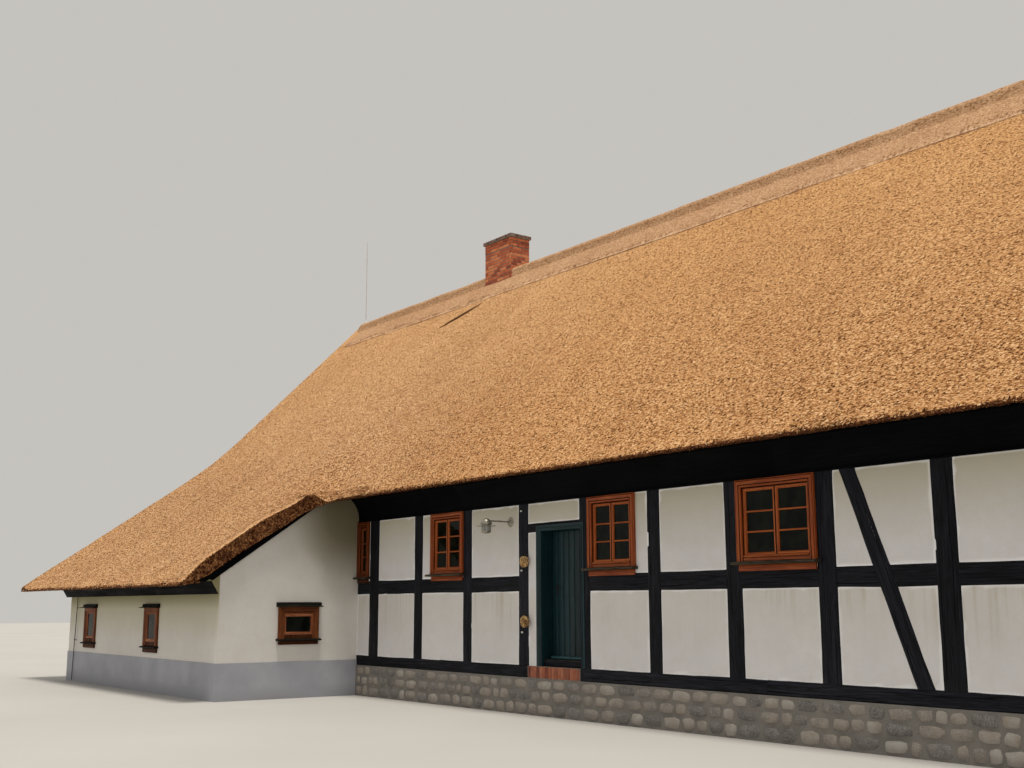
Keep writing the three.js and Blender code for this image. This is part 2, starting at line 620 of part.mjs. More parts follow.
function addDoor() {
  const { left, right, head, clearLeft, clearRight, clearTop, frameFront, frameBack } = DOOR;
  const { thresholdTop, thresholdFront, stopTop, stopDepth, stopPlay } = DOOR;
  const leftEnd = POSTS_LEFT_OF_DOOR.at(-1)[1];
  const rightStart = POSTS_RIGHT_OF_DOOR[0][0];
  const foot = LEVEL.sillTop + GAP;
  const portal = prismAlongY([
    [left, foot], [clearLeft, foot], [clearLeft, clearTop], [clearRight, clearTop], [clearRight, foot],
    [right, foot], [right, head], [left, head],
  ], frameFront, frameBack);
  const { radius, knuckle, plate, strap } = HINGE;
  const eyes = HINGE.heights.flatMap((z) => [
    upright(radius, HINGE.x, HINGE.y, z - knuckle, z, 16),
    block([HINGE.x, frameBack - 1, z - knuckle], [HINGE.x + plate[0], frameBack + plate[1], z]),
    block([HINGE.x, frameBack - 1, z - knuckle], [HINGE.x + radius, HINGE.y, z]),
  ]);
  addNode("door_frame", join([portal, ...eyes]), MATERIALS.doorPaint);

  const leafLeft = clearLeft + LEAF.play;
  const leafRight = clearRight - LEAF.play;
  const straps = HINGE.heights.flatMap((z) => [
    upright(radius, HINGE.x, HINGE.y, z + GAP, z + knuckle, 16),
    block([leafRight - strap[0], LEAF.back - 1, z + GAP], [HINGE.x, LEAF.back + strap[1], z + knuckle]),
    block([HINGE.x - radius, LEAF.back - 1, z + GAP], [HINGE.x, HINGE.y, z + knuckle]),
  ]);
  const board = block([leafLeft, LEAF.front, LEAF.foot], [leafRight, LEAF.back, LEAF.top]);
  addNode("door_leaf", join([board, ...straps]), MATERIALS.doorPaint);

  addDoorHandle();
  const beam = block([clearLeft + GAP, thresholdFront, foot], [clearRight - GAP, WALL, thresholdTop]);
  const stopFrom = [leafLeft, LEAF.front - stopDepth, thresholdTop - 1];
  const stop = block(stopFrom, [leafRight, LEAF.front - stopPlay, stopTop]);
  addNode("door_threshold", join([beam, stop]), MATERIALS.blackTimber);
  const brickBase = block([leftEnd + GAP, -PLINTH.proud, BEAM_FOOT], [rightStart - GAP, WALL, LEVEL.sillTop]);
  addNode("door_brick_base", brickBase, MATERIALS.brick);
}

function addDoorHandle() {
  const { x, z, reach, plate: [width, height], neck, standOff, lever } = HANDLE;
  const face = LEAF.front - GAP;
  const plate = block([x - width / 2, face - neck, z - 0.6 * height], [x + width / 2, face, z + 0.4 * height]);
  const stem = new THREE.CylinderGeometry(neck, neck, standOff, 12).translate(x, face - 0.5 * standOff - 5, z);
  const bar = block([x - neck, face - standOff - lever, z - neck], [x + reach, face - standOff, z + neck]);
  addNode("door_handle", join([plate, stem, bar]), MATERIALS.darkMetal);
}

// Roof

// A closed body between two height fields over a grid of x and y places.
function slabBetween(xs, ys, top, under) {
  const columns = ys.length;
  const positions = [];
  for (const height of [top, under]) {
    for (const x of xs) {
      for (const y of ys) {
        positions.push(x, y, height(x, y));
      }
    }
  }
  const at = (side, i, j) => side * xs.length * columns + i * columns + j;
  const index = [];
  const quad = (a, b, c, d) => index.push(a, b, c, a, c, d);
  for (let i = 0; i + 1 < xs.length; i += 1) {
    for (let j = 0; j + 1 < columns; j += 1) {
      quad(at(0, i, j), at(0, i + 1, j), at(0, i + 1, j + 1), at(0, i, j + 1));
      quad(at(1, i, j), at(1, i, j + 1), at(1, i + 1, j + 1), at(1, i + 1, j));
    }
    quad(at(1, i, 0), at(1, i + 1, 0), at(0, i + 1, 0), at(0, i, 0));
    quad(at(0, i, columns - 1), at(0, i + 1, columns - 1), at(1, i + 1, columns - 1), at(1, i, columns - 1));
  }
  for (let j = 0; j + 1 < columns; j += 1) {
    const last = xs.length - 1;
    quad(at(0, 0, j), at(0, 0, j + 1), at(1, 0, j + 1), at(1, 0, j));
    quad(at(1, last, j), at(1, last, j + 1), at(0, last, j + 1), at(0, last, j));
  }
  const geometry = new THREE.BufferGeometry();
  geometry.setAttribute("position", new THREE.Float32BufferAttribute(positions, 3));
  geometry.setIndex(index);
  return geometry;
}

function addRoof() {
  const flueHole = block([CHIMNEY.left - GAP, CHIMNEY.front - GAP, 0],
    [CHIMNEY.right + GAP, CHIMNEY.back + GAP, CHIMNEY.top + 1]);
  const head = RIDGE_Y - GAP / 2;
  const mainOutline = [
    [EAVE.y, EAVE.z], [MAIN_CUT_END, mainUnder(MAIN_CUT_END)], [head, mainUnder(head)],
    [head, mainTop(head)], [EAVE.y, EAVE.z + EAVE.tip],
  ];
  addNode("thatch_front", prismAlongX(mainOutline, GAP, VERGE.right), MATERIALS.thatch);
  const backOutline = mainOutline.map(([y, z]) => [HOUSE.depth - y, z]);
  addNode("thatch_back", cut(prismAlongX(backOutline, VERGE.left, VERGE.right), [flueHole]), MATERIALS.thatch);

  const steps = 5;
  const xs = [VERGE.left];
  for (let i = 0; i <= steps; i += 1) {
    xs.push(-CATSLIDE.blend * (1 - i / steps));
  }
  const ys = [CATSLIDE.y, CATSLIDE_CUT_END, CATSLIDE.sweepFrom, SWEEP_CORNER, EAVE.y, CATSLIDE.sweepTo,
    MAIN_CUT_END, CATSLIDE_HEAD, UNDER_HEAD, head];
  const slope = slabBetween(xs, ys, roofTop, roofUnder);
  const stripY = [CATSLIDE.y, CATSLIDE_CUT_END, CATSLIDE.sweepFrom, SWEEP_CORNER, EAVE.y - GAP];
  const strip = prismAlongX([
    ...stripY.map((y) => [y, sweptTop(y)]),
    ...stripY.reverse().map((y) => [y, sweptUnder(y)]),
  ], -1, VERGE.wing);
  addNode("thatch_catslide", cut(join([slope, strip]), [flueHole]), MATERIALS.thatch);
  addRidgeCap(flueHole);
}

function addRidgeCap(flueHole) {
  const { left, reach, thickness, rollRadius, crest } = RIDGE_CAP;
  const seat = 2 * GAP;
  const roll = new THREE.EllipseCurve(RIDGE_Y, crest - rollRadius, rollRadius, rollRadius, Math.PI, 0, true);
  const [frontY, backY] = [RIDGE_Y - reach, RIDGE_Y + reach];
  const low = mainTop(frontY) + seat;
  const edge = thickness / 2;
  const outline = [
    [frontY, low], [frontY - edge, low + edge], ...roll.getPoints(8).map((point) => [point.x, point.y]),
    [backY + edge, low + edge], [backY, low], [RIDGE_Y, mainTop(RIDGE_Y) + seat],
  ];
  addNode("ridge_cap", cut(prismAlongX(outline, left, VERGE.right), [flueHole]), MATERIALS.ridgeThatch);
}

// Chimney

function addChimney() {
  const { left, right, front, back, top, capRise, capOut } = CHIMNEY;
  const middle = [(left + right) / 2, (front + back) / 2];
  const stack = block([left, front, LEVEL.floor + GAP], [right, back, top - capRise + 1]);
  const cap = block([left - capOut, front - capOut, top - capRise], [right + capOut, back + capOut, top]);
  const flue = block([middle[0] - FLUE.width / 2, middle[1] - FLUE.depth / 2, LEVEL.floor + FLUE.foot],
    [middle[0] + FLUE.width / 2, middle[1] + FLUE.depth / 2, top + 1]);
  addNode("chimney", cut(join([stack, cap]), [flue]), MATERIALS.brick);
}

// Fittings

function lamp() {
  const { x, z, reach, plateRadius, plateDepth, armRadius } = LAMP;
  const plate = new THREE.CylinderGeometry(plateRadius, plateRadius, plateDepth, 24);
  plate.translate(x, PANEL_RECESS - GAP - plateDepth / 2, z);
  const arm = new THREE.CylinderGeometry(armRadius, armRadius, reach, 12).translate(x, -reach / 2, z);
  const rings = ["foot", "glass", "rim", "neck", "shoulder"].map((ring) => {
    const [radius, low, high] = LAMP[ring];
    return upright(radius, x, -reach, low, high, 24);
  });
  const [domeRadius, domeLow, domeTop] = LAMP.dome;
  const curve = new THREE.EllipseCurve(0, 0, domeRadius, domeTop - domeLow, 0, Math.PI / 2);
  const dome = new THREE.LatheGeometry([new THREE.Vector2(0, 0), ...curve.getPoints(6)], 24);
  dome.rotateX(Math.PI / 2).translate(x, -reach, domeLow);
  return join([plate, arm, ...rings, dome]);
}

function addFittings() {
  const rodFoot = RIDGE_CAP.crest + GAP;
  const rod = join([
    upright(ROD.radius, ROD.x, RIDGE_Y, rodFoot, ROD.top, 8),
    upright(ROD.footRadius, ROD.x, RIDGE_Y, rodFoot, rodFoot + ROD.footHeight, 12),
  ]);
  addNode("lightning_rod", rod, MATERIALS.galvanised);

  const conductorY = WING.front - CONDUCTOR.standOff;
  const { x: wireX, clipHalf } = CONDUCTOR;
  const clips = CONDUCTOR.clips.map((z) => {
    const wallFace = z < WING.plinthTop ? WING.front - PLINTH.wingProud : WING.front;
    return block([wireX - clipHalf, conductorY, z], [wireX + clipHalf, wallFace - GAP, z + 2 * clipHalf]);
  });
  const wire = upright(CONDUCTOR.radius, wireX, conductorY, CONDUCTOR.foot, CONDUCTOR.top, 8);
  addNode("lightning_conductor", join([wire, ...clips]), MATERIALS.galvanised);
  addNode("wall_lamp", lamp(), MATERIALS.galvanised);

  for (const [place, [x, z]] of Object.entries(ORNAMENTS)) {
    const bundle = new THREE.SphereGeometry(1, 16, 10).rotateX(Math.PI / 2).scale(...ORNAMENT_RADII);
    addNode(`post_ornament_${place}`, bundle, MATERIALS.straw, 0, [x, -ORNAMENT_RADII[1] - GAP, z]);
  }
}

addBase();
addFrontWall();
addPlates();
addBackWall();
addRightGable();
addRenderedWalls();
addDoor();
addRoof();
addChimney();
addFittings();

const part = new THREE.Group();
const backEaveY = HOUSE.depth - EAVE.y;
house.position.set(-(VERGE.left + VERGE.right) / 2, -(CATSLIDE.y + backEaveY) / 2, 0);
part.add(house);

export default part;
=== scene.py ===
"""The looks of a long half-timbered cottage under one thatched roof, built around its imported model.

Lengths are metres. Shapes are drawn in facade places: X runs along the front wall from the low wing's
side wall, Y runs inwards from the front wall's face, and Z is the height above the ground. HOME moves
them into the frame, and each wall has a place of its own, in which it faces -Y and runs along X.
"""

import math

import bmesh
import bpy
import numpy as np
from mathutils import Matrix, Vector


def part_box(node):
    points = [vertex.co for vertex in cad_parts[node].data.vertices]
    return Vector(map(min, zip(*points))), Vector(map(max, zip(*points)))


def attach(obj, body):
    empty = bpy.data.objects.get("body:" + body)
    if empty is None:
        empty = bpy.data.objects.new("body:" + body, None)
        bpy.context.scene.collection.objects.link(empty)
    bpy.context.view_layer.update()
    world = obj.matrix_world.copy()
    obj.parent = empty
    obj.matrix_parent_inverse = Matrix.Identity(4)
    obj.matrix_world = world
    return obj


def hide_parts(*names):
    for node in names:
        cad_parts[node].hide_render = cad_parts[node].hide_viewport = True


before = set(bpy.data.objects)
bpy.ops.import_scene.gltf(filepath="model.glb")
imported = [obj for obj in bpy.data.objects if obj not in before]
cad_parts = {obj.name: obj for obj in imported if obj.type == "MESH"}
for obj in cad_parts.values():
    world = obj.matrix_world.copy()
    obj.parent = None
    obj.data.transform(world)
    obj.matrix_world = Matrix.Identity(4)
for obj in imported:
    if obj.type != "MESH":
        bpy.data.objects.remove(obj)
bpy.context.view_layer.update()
rng = np.random.default_rng(7)

# Driving sizes

WALL = 0.28
TIMBER = 0.14
LEVEL = {"plinth": 0.56, "sill": 0.74, "floor": 0.84, "rail_low": 1.867, "rail_top": 2.109, "plate": 3.252}
WING = {"front": -2.84, "wall": 0.30, "plinth": 0.66, "fascia_low": 1.88}
POSTS_LEFT = [(0.52, 0.78), (2.043, 2.305), (3.599, 3.845), (5.169, 5.416)]
POSTS_RIGHT = [
    (6.685, 6.915), (8.179, 8.424), (9.664, 9.929), (11.167, 11.438), (12.801, 13.08), (14.34, 14.59),
    (15.85, 16.10), (17.36, 17.62),
]
FIRST_POST = [(0.455, 0.78)]
DOORWAY = (POSTS_LEFT[-1][1], POSTS_RIGHT[0][0])
SILL_JOINTS = {"left": (2.9,), "right": (10.3, 14.0), "back": (6.2, 12.6, 19.0), "gable": (5.3,)}
RAISED_LEFT = 0.018
BROKEN_EDGE = {"post": (8.179, 8.424), "middle": 2.57, "half": 0.09, "depth": 0.026}
BRACES = [((11.552, 11.775), (12.47, 12.69)), ((17.023, 17.246), (16.211, 16.431))]
BRACE, BRACE_FACE = 0.22, -0.008
DOOR = {"left": 5.631, "right": 6.791, "head": 2.899, "clear": (5.746, 6.715), "clear_top": 2.806}
LEAF = {
    "left": 5.754, "right": 6.707, "front": 0.215, "back": 0.262, "foot": 0.85, "top": 2.798,
    "planks": 7, "ledges": (1.055, 1.795, 2.575),
}
HANDLE = {"x": 5.885, "z": 1.935}
HINGE = {"x": 6.712, "y": 0.281, "radius": 0.012, "heights": (1.16, 2.44), "knuckle": 0.06}
LINTEL = {"low": 2.796, "top": 2.935}
FRONT_WINDOWS = [(0.003, 0.435), (2.61, 3.61), (6.90, 7.935), (9.888, 11.178), (14.70, 15.74)]
CASEMENT = {"sill": 2.209, "apron": 2.085, "top": 3.251, "frame": 0.112}
SMALL_WINDOW = {
    "width": 0.83, "low": 0.766, "sill": (0.85, 0.895), "hood": (1.64, 1.692), "glass": 0.372,
    "light": (1.037, 1.498),
}
SIDE_WINDOW = {
    "width": 0.905, "low": 0.964, "sill": (1.03, 1.07), "hood": (1.655, 1.71), "glass": 0.479,
    "light": (1.205, 1.465),
}
WING_WINDOWS, SIDE_WINDOW_START, LEFT_WINDOW_START = (-7.36, -3.615), -1.7, 7.6
BACK_BAYS, BACK_WINDOWS = 16, (2, 7, 12)
GABLE_BAYS, GABLE_WINDOWS = 7, (2, 4)
HIDDEN_POST, CORNER_POST = 0.24, 0.26
GABLE_RAILS = [(3.252, 3.49), (5.15, 5.38), (6.95, 7.18)]
HIDDEN_WINDOW = 1.05
THATCH = 0.28
EAVE = {"y": -0.59, "z": 3.63, "tip": 0.03, "cut": 0.183}
CATSLIDE = {"y": -3.658, "z": 2.014, "slope": 0.69, "cut": 0.145, "blend": 1.3, "sweep": (-1.222, -0.4)}
VERGE = {"left": -9.68, "right": 18.25, "wing": 0.15}
ROUNDED = {"left": 0.05, "right": 0.12, "wing": 0.026, "eave": 0.05}
SLIT = {"start": (-3.433, 4.078), "end": (-2.329, 4.521), "rise": 0.05}
RIDGE = {"left": -9.44, "y": 5.31, "crest": 9.72, "reach": 0.65, "roll": 0.15}
CHIMNEY = {"x": (-3.033, -1.966), "y": (5.15, 5.70), "foot": 9.0, "top": 10.56, "cap": 0.08, "collar": 0.24}
LAMP = {"x": 4.955, "z": 2.99, "reach": 0.486}
ORNAMENTS = {"upper": (5.395, 2.341), "lower": (5.41, 1.414)}
ORNAMENT_RADII = (0.10, 0.072, 0.104)
KNOBS = {"upper": [(5.26, 3.15), (5.265, 2.207)], "lower": [(5.277, 1.247)]}
ROD = {"x": -9.24, "collar": 11.6, "top": 12.178}
CONDUCTOR = {"x": -7.88, "y": -2.885, "foot": 0.03, "top": 1.87, "lean": 0.073, "clips": (0.907, 1.625)}

# Places

HOME = Matrix.Translation((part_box("wing_side_wall")[1].x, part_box("front_frame_left")[0].y, 0))
HOUSE_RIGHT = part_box("front_frame_right")[1].x - HOME.translation.x
HOUSE_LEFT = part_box("left_wall")[0].x - HOME.translation.x
HOUSE_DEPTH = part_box("back_frame")[1].y - HOME.translation.y
BACK_LENGTH = HOUSE_RIGHT - HOUSE_LEFT - WING["wall"]
OUT, IN = 90, -90


def place(x, y, turn):
    """Where a wall stands, by the start of its face and its turn about Z in degrees."""
    return HOME @ Matrix.Translation((x, y, 0)) @ Matrix.Rotation(math.radians(turn), 4, "Z")


def at(home, x, y, z, tilt=0):
    """A place within another one, tilted about X by degrees: OUT of a wall's face or IN through it."""
    return home @ Matrix.Translation((x, y, z)) @ Matrix.Rotation(math.radians(tilt), 4, "X")


def mirrored(depth):
    """HOME in an upright mirror half this far behind the front wall."""
    return HOME @ Matrix.Translation((0, depth, 0)) @ Matrix.Scale(-1, 4, (0, 1, 0))


FRONT = place(0, 0, 0)
BACK = place(HOUSE_RIGHT, HOUSE_DEPTH, 180)
RIGHT = place(HOUSE_RIGHT, 0, 90)
LEFT = place(HOUSE_LEFT, HOUSE_DEPTH, -90)
WING_FRONT = place(0, WING["front"], 0)
WING_SIDE = place(0, 0, 90)


# Camera, at the photograph's viewing angle

CAMERA = {
    "place": (20.884, -11.800, 1.651), "yaw": 53.399, "pitch": 10.332, "roll": -0.129,
    "focal_px": 1218.93, "frame_px": 1024, "sensor_mm": 36, "far": 200,
}


def add_camera():
    yaw, pitch, roll = (math.radians(CAMERA[angle]) for angle in ("yaw", "pitch", "roll"))
    forward = Vector((-math.sin(yaw) * math.cos(pitch), math.cos(yaw) * math.cos(pitch), math.sin(pitch)))
    level_right = Vector((math.cos(yaw), math.sin(yaw), 0))
    level_up = level_right.cross(forward)
    right = math.cos(roll) * level_right + math.sin(roll) * level_up
    up = math.cos(roll) * level_up - math.sin(roll) * level_right
    data = bpy.data.cameras.new("camera")
    data.sensor_width = CAMERA["sensor_mm"]
    data.lens = CAMERA["focal_px"] / CAMERA["frame_px"] * CAMERA["sensor_mm"]
    data.clip_end = CAMERA["far"]
    camera = bpy.data.objects.new("camera", data)
    turn = Matrix((right, up, -forward)).transposed().to_4x4()
    camera.matrix_world = HOME @ Matrix.Translation(CAMERA["place"]) @ turn
    bpy.context.scene.collection.objects.link(camera)
    bpy.context.scene.camera = camera


add_camera()


# Materials

class Graph:
    """A material's shader nodes, with a method for each kind of node that is used."""

    def __init__(self, name):
        self.material = bpy.data.materials.new(name)
        self.material.use_nodes = True
        self.tree = self.material.node_tree
        self.shader = self.tree.nodes["Principled BSDF"]

    def node(self, kind, inputs=None, **settings):
        made = self.tree.nodes.new(kind)
        for key, value in settings.items():
            setattr(made, key, value)
        for key, value in (inputs or {}).items():
            self.feed(made.inputs[key], value)
        return made

    def feed(self, socket, value):
        if isinstance(value, bpy.types.NodeSocket):
            self.tree.links.new(value, socket)
        else:
            socket.default_value = value

    def here(self):
        return self.node("ShaderNodeTexCoord").outputs["Object"]

    def axis(self, letter):
        """How far a point lies along X, Y or Z in the frame."""
        return self.node("ShaderNodeSeparateXYZ", {"Vector": self.here()}).outputs[letter]

    def attribute(self, name, output):
        return self.node("ShaderNodeAttribute", attribute_name=name).outputs[output]

    def place(self, scale, turn=(0, 0, 0), stored=False):
        """Points of the frame, or the stored grain, turned by degrees and then scaled."""
        scale = scale if isinstance(scale, tuple) else (scale, scale, scale)
        vector = self.attribute("grain", "Vector") if stored else self.here()
        if any(turn):
            radians = [math.radians(angle) for angle in turn]
            vector = self.node("ShaderNodeMapping", {"Vector": vector, "Rotation": radians}).outputs["Vector"]
        return self.node("ShaderNodeMapping", {"Vector": vector, "Scale": scale}).outputs["Vector"]

    def shade(self):
        """The stored shade, a number from 0 to 1."""
        return self.attribute("shade", "Fac")

    def shaded(self, value, low, high):
        """A value shifted by the stored shade, between these two amounts."""
        return self.plus(value, self.map(self.shade(), 0, 1, low, high))

    def noise(self, vector, detail=3, rough=0.5, distortion=0):
        inputs = {"Vector": vector, "Scale": 1, "Detail": detail, "Roughness": rough,
                  "Distortion": distortion}
        return self.node("ShaderNodeTexNoise", inputs).outputs["Fac"]

    def cells(self, vector, output="Distance"):
        return self.node("ShaderNodeTexVoronoi", {"Vector": vector, "Scale": 1}).outputs[output]

    def ramp(self, factor, stops):
        stops = list(stops)
        made = self.node("ShaderNodeValToRGB", {"Fac": factor})
        line = made.color_ramp.elements
        while len(line) < len(stops):
            line.new(0.5)
        for element, (position, color) in zip(line, stops):
            element.position = position
            element.color = (*color, 1)
        return made.outputs["Color"]

    def mix(self, factor, first, second, how="MIX"):
        made = self.node("ShaderNodeMix", data_type="RGBA", blend_type=how, clamp_result=True)
        sockets = made.inputs
        for socket, value in ((sockets[0], factor), (sockets[6], first), (sockets[7], second)):
            self.feed(socket, (*value, 1) if isinstance(value, tuple) and len(value) == 3 else value)
        return made.outputs[2]

    def math(self, operation, first, second=0.0):
        return self.node("ShaderNodeMath", {0: first, 1: second}, operation=operation).outputs[0]

    def times(self, first, second):
        return self.math("MULTIPLY", first, second)

    def plus(self, first, second):
        return self.math("ADD", first, second)

    def blend(self, first, second):
        """The sum of two values, each given with its share."""
        return self.plus(self.times(*first), self.times(*second))

    def map(self, value, low, high, to_low=0.0, to_high=1.0):
        inputs = {"Value": value, "From Min": low, "From Max": high, "To Min": to_low, "To Max": to_high}
        return self.node("ShaderNodeMapRange", inputs).outputs["Result"]

    def bump(self, value, distance, strength=1.0, below=None):
        inputs = {"Height": value, "Distance": distance, "Strength": strength}
        if below is not None:
            inputs["Normal"] = below
        return self.node("ShaderNodeBump", inputs).outputs["Normal"]

    def finish(self, color, roughness, normal=None, gloss=0.5, **others):
        inputs = {"Base Color": color, "Roughness": roughness, "Specular IOR Level": gloss, **others}
        if normal is not None:
            inputs["Normal"] = normal
        for name, value in inputs.items():
            self.feed(self.shader.inputs[name], value)
        return self.material


def dimmed(color, share):
    return tuple(share * value for value in color)


THATCH_TONES = [(0.075, 0.025, 0.007), (0.40, 0.180, 0.060), (0.69, 0.355, 0.145), (0.97, 0.68, 0.38)]
PALE_TONES = [(0.10, 0.037, 0.012), (0.40, 0.194, 0.074), (0.67, 0.375, 0.175), (0.91, 0.68, 0.43)]
RIDGE_TONES = [(0.254, 0.134, 0.061), (0.466, 0.263, 0.135), (0.615, 0.375, 0.209), (0.806, 0.56, 0.365)]
CUT_TONES = [(0.030, 0.009, 0.004), (0.12, 0.038, 0.014), (0.28, 0.11, 0.038), (0.66, 0.36, 0.15)]


THATCH_STOPS = (0.39, 0.455, 0.53, 0.625)


def thatch_material(name, slope, tones, relief=0.026, golden=0.0, wing=False):
    """Cut reed ends down a slope, in degrees about X, with darker patches of painted dappled leaf shade and
    more gold high up.

    Where the wing is asked for, the reeds are paler over it.
    """
    g = Graph(name)
    turn = (slope, 0, 0)
    strokes = g.noise(g.place((22, 40, 40), turn), detail=5, rough=0.76, distortion=0.2)
    bundles = g.place((26, 48, 48), turn)
    gaps = g.cells(bundles)
    own = g.cells(bundles, output="Color")
    broad = g.noise(g.place((0.5, 0.14, 0.5), turn), detail=4, rough=0.55, distortion=0.4)
    middle = g.noise(g.place((2.6, 1.4, 2.6), turn), detail=3, rough=0.6)
    grain = g.plus(g.blend((strokes, 0.72), (own, 0.13)), 0.13)
    grain = g.math("SUBTRACT", grain, g.times(gaps, 0.10))
    tone = g.shaded(grain, -0.10, 0.10)
    color = g.ramp(tone, zip(THATCH_STOPS, tones))
    if wing:
        edge = HOME.translation.x
        near = g.map(g.axis("X"), edge - 0.5, edge + 5.0, 1.0, 0.0)
        color = g.mix(near, color, g.ramp(tone, zip(THATCH_STOPS, PALE_TONES)))
    # Broad darker patches: painted dappled shade of leaves.
    patches = g.map(g.blend((broad, 0.6), (middle, 0.4)), 0.36, 0.60, 0.5, 0.0)
    color = g.mix(patches, color, (0.72, 0.62, 0.56), "MULTIPLY")
    color = g.mix(g.map(g.axis("Z"), 4.5, 8.5, 0.0, golden), color, (0.80, 0.46, 0.20))
    return g.finish(color, 0.9, g.bump(grain, relief), gloss=0.1)


def cut_thatch_material():
    """The cut ends of the reeds at eaves and verges."""
    g = Graph("thatch_cut")
    ends = g.cells(g.place(75))
    clumps = g.noise(g.place(22), detail=3, rough=0.7)
    broad = g.noise(g.place(3), detail=3)
    tone = g.shaded(g.blend((g.math("SUBTRACT", 0.75, ends), 0.4), (clumps, 0.6)), -0.10, 0.10)
    color = g.ramp(tone, zip((0.28, 0.37, 0.46, 0.58), CUT_TONES))
    color = g.mix(g.map(broad, 0.35, 0.65, 0.4, 0.0), color, (0.60, 0.50, 0.48), "MULTIPLY")
    return g.finish(color, 0.9, g.bump(tone, 0.03), gloss=0.1)


def wood_material(name, tones, rough, gloss=0.5, streak=(55, 55, 2.2), relief=0.0016, cracks=0.0, turn=None):
    """Wood whose grain runs along the stored grain's third axis, or along the frame's Z as it is turned."""
    g = Graph(name)
    stored, turn = turn is None, turn or (0, 0, 0)
    dark, mid, light = tones
    streaks = g.noise(g.place(streak, turn, stored=stored), detail=4, rough=0.6, distortion=0.3)
    fibres = g.noise(g.place(tuple(4 * value for value in streak), turn, stored=stored), detail=2, rough=0.6)
    broad = g.noise(g.place((2.2, 2.2, 0.8), turn, stored=stored), detail=3)
    grain = g.blend((streaks, 0.65), (fibres, 0.35))
    if stored:
        grain = g.shaded(grain, -0.06, 0.06)
    color = g.ramp(grain, [(0.38, dark), (0.5, mid), (0.63, light)])
    color = g.mix(g.map(broad, 0.35, 0.65, 0.0, 0.35), color, dark)
    height = grain
    if cracks:
        split = g.noise(g.place((16, 16, 0.8), turn, stored=stored), detail=2, rough=0.45, distortion=0.5)
        line = g.map(g.math("ABSOLUTE", g.math("SUBTRACT", split, 0.5)), 0.004, 0.03)
        color = g.mix(g.map(line, 0, 1, cracks, 0.0), color, dimmed(dark, 0.25))
        height = g.plus(grain, g.times(line, 1.5))
    return g.finish(color, g.map(broad, 0.3, 0.7, *rough), g.bump(height, relief, 0.9), gloss)


def plaster_material(name, base, rim, stain, weather):
    """Limewashed plaster: mottled, rough by hand, and whiter at the rims, partly as a painted highlight. The
    weather function adds painted shade, and stains on the panels.
    """
    g = Graph(name)
    broad = g.noise(g.place(0.9), detail=4, rough=0.55)
    trowel = g.noise(g.place(5), detail=4, rough=0.6, distortion=0.5)
    grit = g.noise(g.place(75), detail=2, rough=0.6)
    color = g.mix(g.map(broad, 0.35, 0.65, 0.0, 0.6), base, dimmed(base, 0.88))
    color = g.mix(g.map(trowel, 0.45, 0.7, 0.0, 0.2), color, stain)
    color = g.mix(g.map(grit, 0.3, 0.45, 0.2, 0.0), color, dimmed(stain, 0.6))
    # Whiter rims: partly whiter lime, partly a painted highlight on the curved edges.
    color = g.mix(g.map(g.shade(), 0.25, 0.9), weather(g, color), rim)
    relief = g.bump(trowel, 0.006, 0.5, g.bump(grit, 0.0016, 0.7))
    return g.finish(color, 0.88, relief, gloss=0.25)


def panel_shade_and_stains(g, color):
    """Painted shade: olive up under the eave, and darker towards the mid rail from below, partly staining.
    The brown runs below the rail are stains.
    """
    # Painted shade up under the eave.
    under_eave = g.times(g.map(g.axis("Z"), 2.35, 3.25), g.map(g.axis("Z"), 3.26, 3.30, 1.0, 0.0))
    color = g.mix(g.times(under_eave, 0.85), color, (0.48, 0.44, 0.315))
    # Darker towards the mid rail: partly painted shade under it, partly staining. The runs are stains.
    below_rail = g.times(g.map(g.axis("Z"), 1.0, 1.87), g.map(g.axis("Z"), 1.90, 1.95, 1.0, 0.0))
    runs = g.map(g.noise(g.place((14, 14, 0.4)), rough=0.6), 0.48, 0.70)
    patch = g.map(g.noise(g.place(0.9), detail=1), 0.42, 0.62)
    runs = g.times(g.times(runs, patch), below_rail)
    color = g.mix(g.times(below_rail, 0.25), color, (0.62, 0.56, 0.42))
    return g.mix(g.times(runs, 0.5), color, (0.46, 0.37, 0.24))


def wing_painted_shade(g, color):
    """Painted shade: yellowish and darker under the wing's fascia, and olive and dark in the corner under the
    swept eave.
    """
    corner = (HOME.translation.x, HOME.translation.y - 0.2, 3.4)
    away = g.node("ShaderNodeVectorMath", {0: g.here(), 1: corner}, operation="DISTANCE").outputs["Value"]
    # Painted shade, darkest nearest the corner under the swept eave.
    color = g.mix(g.map(away, 0.3, 1.8, 0.85, 0.0), color, (0.25, 0.22, 0.125))
    color = g.mix(g.map(away, 0.5, 1.25, 0.7, 0.0), color, (0.14, 0.12, 0.06))
    # Painted shade under the wing's fascia: olive lower down, darkest just under it.
    face = HOME.translation.y + WING["front"]
    front = g.map(g.axis("Y"), face + 0.012, face + 0.03, 1.0, 0.0)
    olive = g.times(g.map(g.axis("Z"), 0.95, 1.80), front)
    color = g.mix(g.times(olive, 0.7), color, (0.50, 0.475, 0.27))
    shadow = g.times(g.map(g.axis("Z"), 1.62, 1.90), front)
    return g.mix(g.times(shadow, 0.75), color, (0.20, 0.175, 0.065))


def stone_material():
    """Grey fieldstones, each with a tone of its own."""
    g = Graph("fieldstone")
    speck = g.noise(g.place(70, stored=True), detail=3, rough=0.7)
    broad = g.noise(g.place(7, stored=True), detail=3)
    color = g.ramp(g.blend((broad, 0.5), (g.shade(), 0.5)), zip((0.2, 0.42, 0.6, 0.8), STONE_TONES))
    color = g.mix(g.map(speck, 0.45, 0.65, 0.0, 0.5), color, (0.42, 0.40, 0.37))
    return g.finish(color, 0.8, g.bump(speck, 0.003, 0.7))


